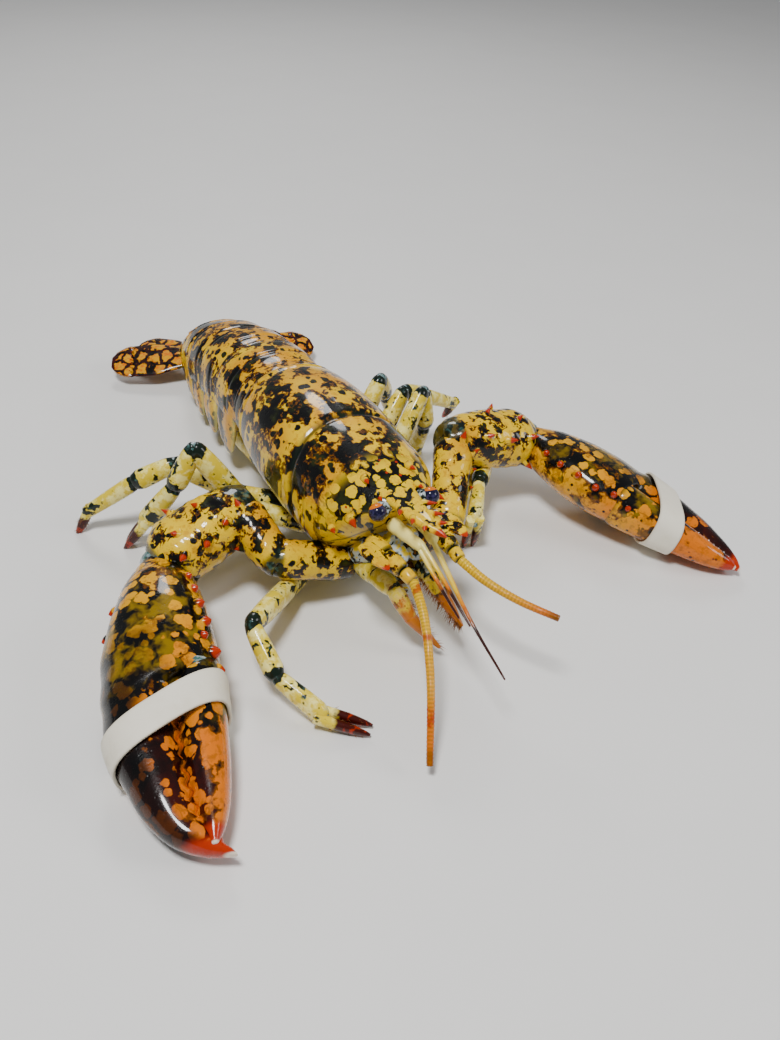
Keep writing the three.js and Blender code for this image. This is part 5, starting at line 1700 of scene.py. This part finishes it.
class LOBSTER_OT_tail(bpy.types.Operator):
    """Makes the six tail segments"""

    bl_idname = "lobster.tail"
    bl_label = "Tail"

    def execute(self, context):
        make_tail()
        return {"FINISHED"}


class LOBSTER_OT_swimmerets(bpy.types.Operator):
    """Makes the small limbs under the tail"""

    bl_idname = "lobster.swimmerets"
    bl_label = "Swimmerets"

    def execute(self, context):
        make_swimmerets()
        return {"FINISHED"}


class LOBSTER_OT_fan(bpy.types.Operator):
    """Makes the telson and the four vanes"""

    bl_idname = "lobster.fan"
    bl_label = "Tail fan"

    def execute(self, context):
        make_fan()
        return {"FINISHED"}


class LOBSTER_OT_feelers(bpy.types.Operator):
    """Makes the short and long feelers"""

    bl_idname = "lobster.feelers"
    bl_label = "Feelers"

    def execute(self, context):
        make_feelers()
        return {"FINISHED"}


class LOBSTER_OT_jaws(bpy.types.Operator):
    """Makes the outer jaws and the mouthparts"""

    bl_idname = "lobster.jaws"
    bl_label = "Jaws"

    def execute(self, context):
        make_jaws()
        return {"FINISHED"}


class LOBSTER_OT_claws(bpy.types.Operator):
    """Makes both claw arms and their bands"""

    bl_idname = "lobster.claws"
    bl_label = "Claws"

    def execute(self, context):
        make_claws()
        return {"FINISHED"}


class LOBSTER_OT_legs(bpy.types.Operator):
    """Makes the eight walking legs"""

    bl_idname = "lobster.legs"
    bl_label = "Legs"

    def execute(self, context):
        make_legs()
        return {"FINISHED"}


OPERATORS = (
    LOBSTER_OT_stage,
    LOBSTER_OT_carapace,
    LOBSTER_OT_sternum,
    LOBSTER_OT_eyes,
    LOBSTER_OT_tail,
    LOBSTER_OT_swimmerets,
    LOBSTER_OT_fan,
    LOBSTER_OT_feelers,
    LOBSTER_OT_jaws,
    LOBSTER_OT_claws,
    LOBSTER_OT_legs,
)


class LOBSTER_PT_panel(bpy.types.Panel):
    """Lists the lobster's pieces and its properties."""

    bl_idname = "LOBSTER_PT_panel"
    bl_label = "American lobster"
    bl_space_type = "VIEW_3D"
    bl_region_type = "UI"
    bl_category = "Lobster"

    def draw(self, context):
        for group in (context.scene.lobster_sizes, context.scene.lobster_colours):
            for name in group.__annotations__:
                self.layout.prop(group, name)
        for kind in OPERATORS:
            self.layout.operator(kind.bl_idname)


CLASSES = (LobsterColours, LobsterSizes, *OPERATORS, LOBSTER_PT_panel)


def register():
    for kind in CLASSES:
        bpy.utils.register_class(kind)
    bpy.types.Scene.lobster_colours = bpy.props.PointerProperty(type=LobsterColours)
    bpy.types.Scene.lobster_sizes = bpy.props.PointerProperty(type=LobsterSizes)


def unregister():
    del bpy.types.Scene.lobster_sizes
    del bpy.types.Scene.lobster_colours
    for kind in reversed(CLASSES):
        bpy.utils.unregister_class(kind)


def main():
    register()
    for kind in OPERATORS:
        group, name = kind.bl_idname.split(".")
        getattr(getattr(bpy.ops, group), name)()


if __name__ == "__main__":
    main()
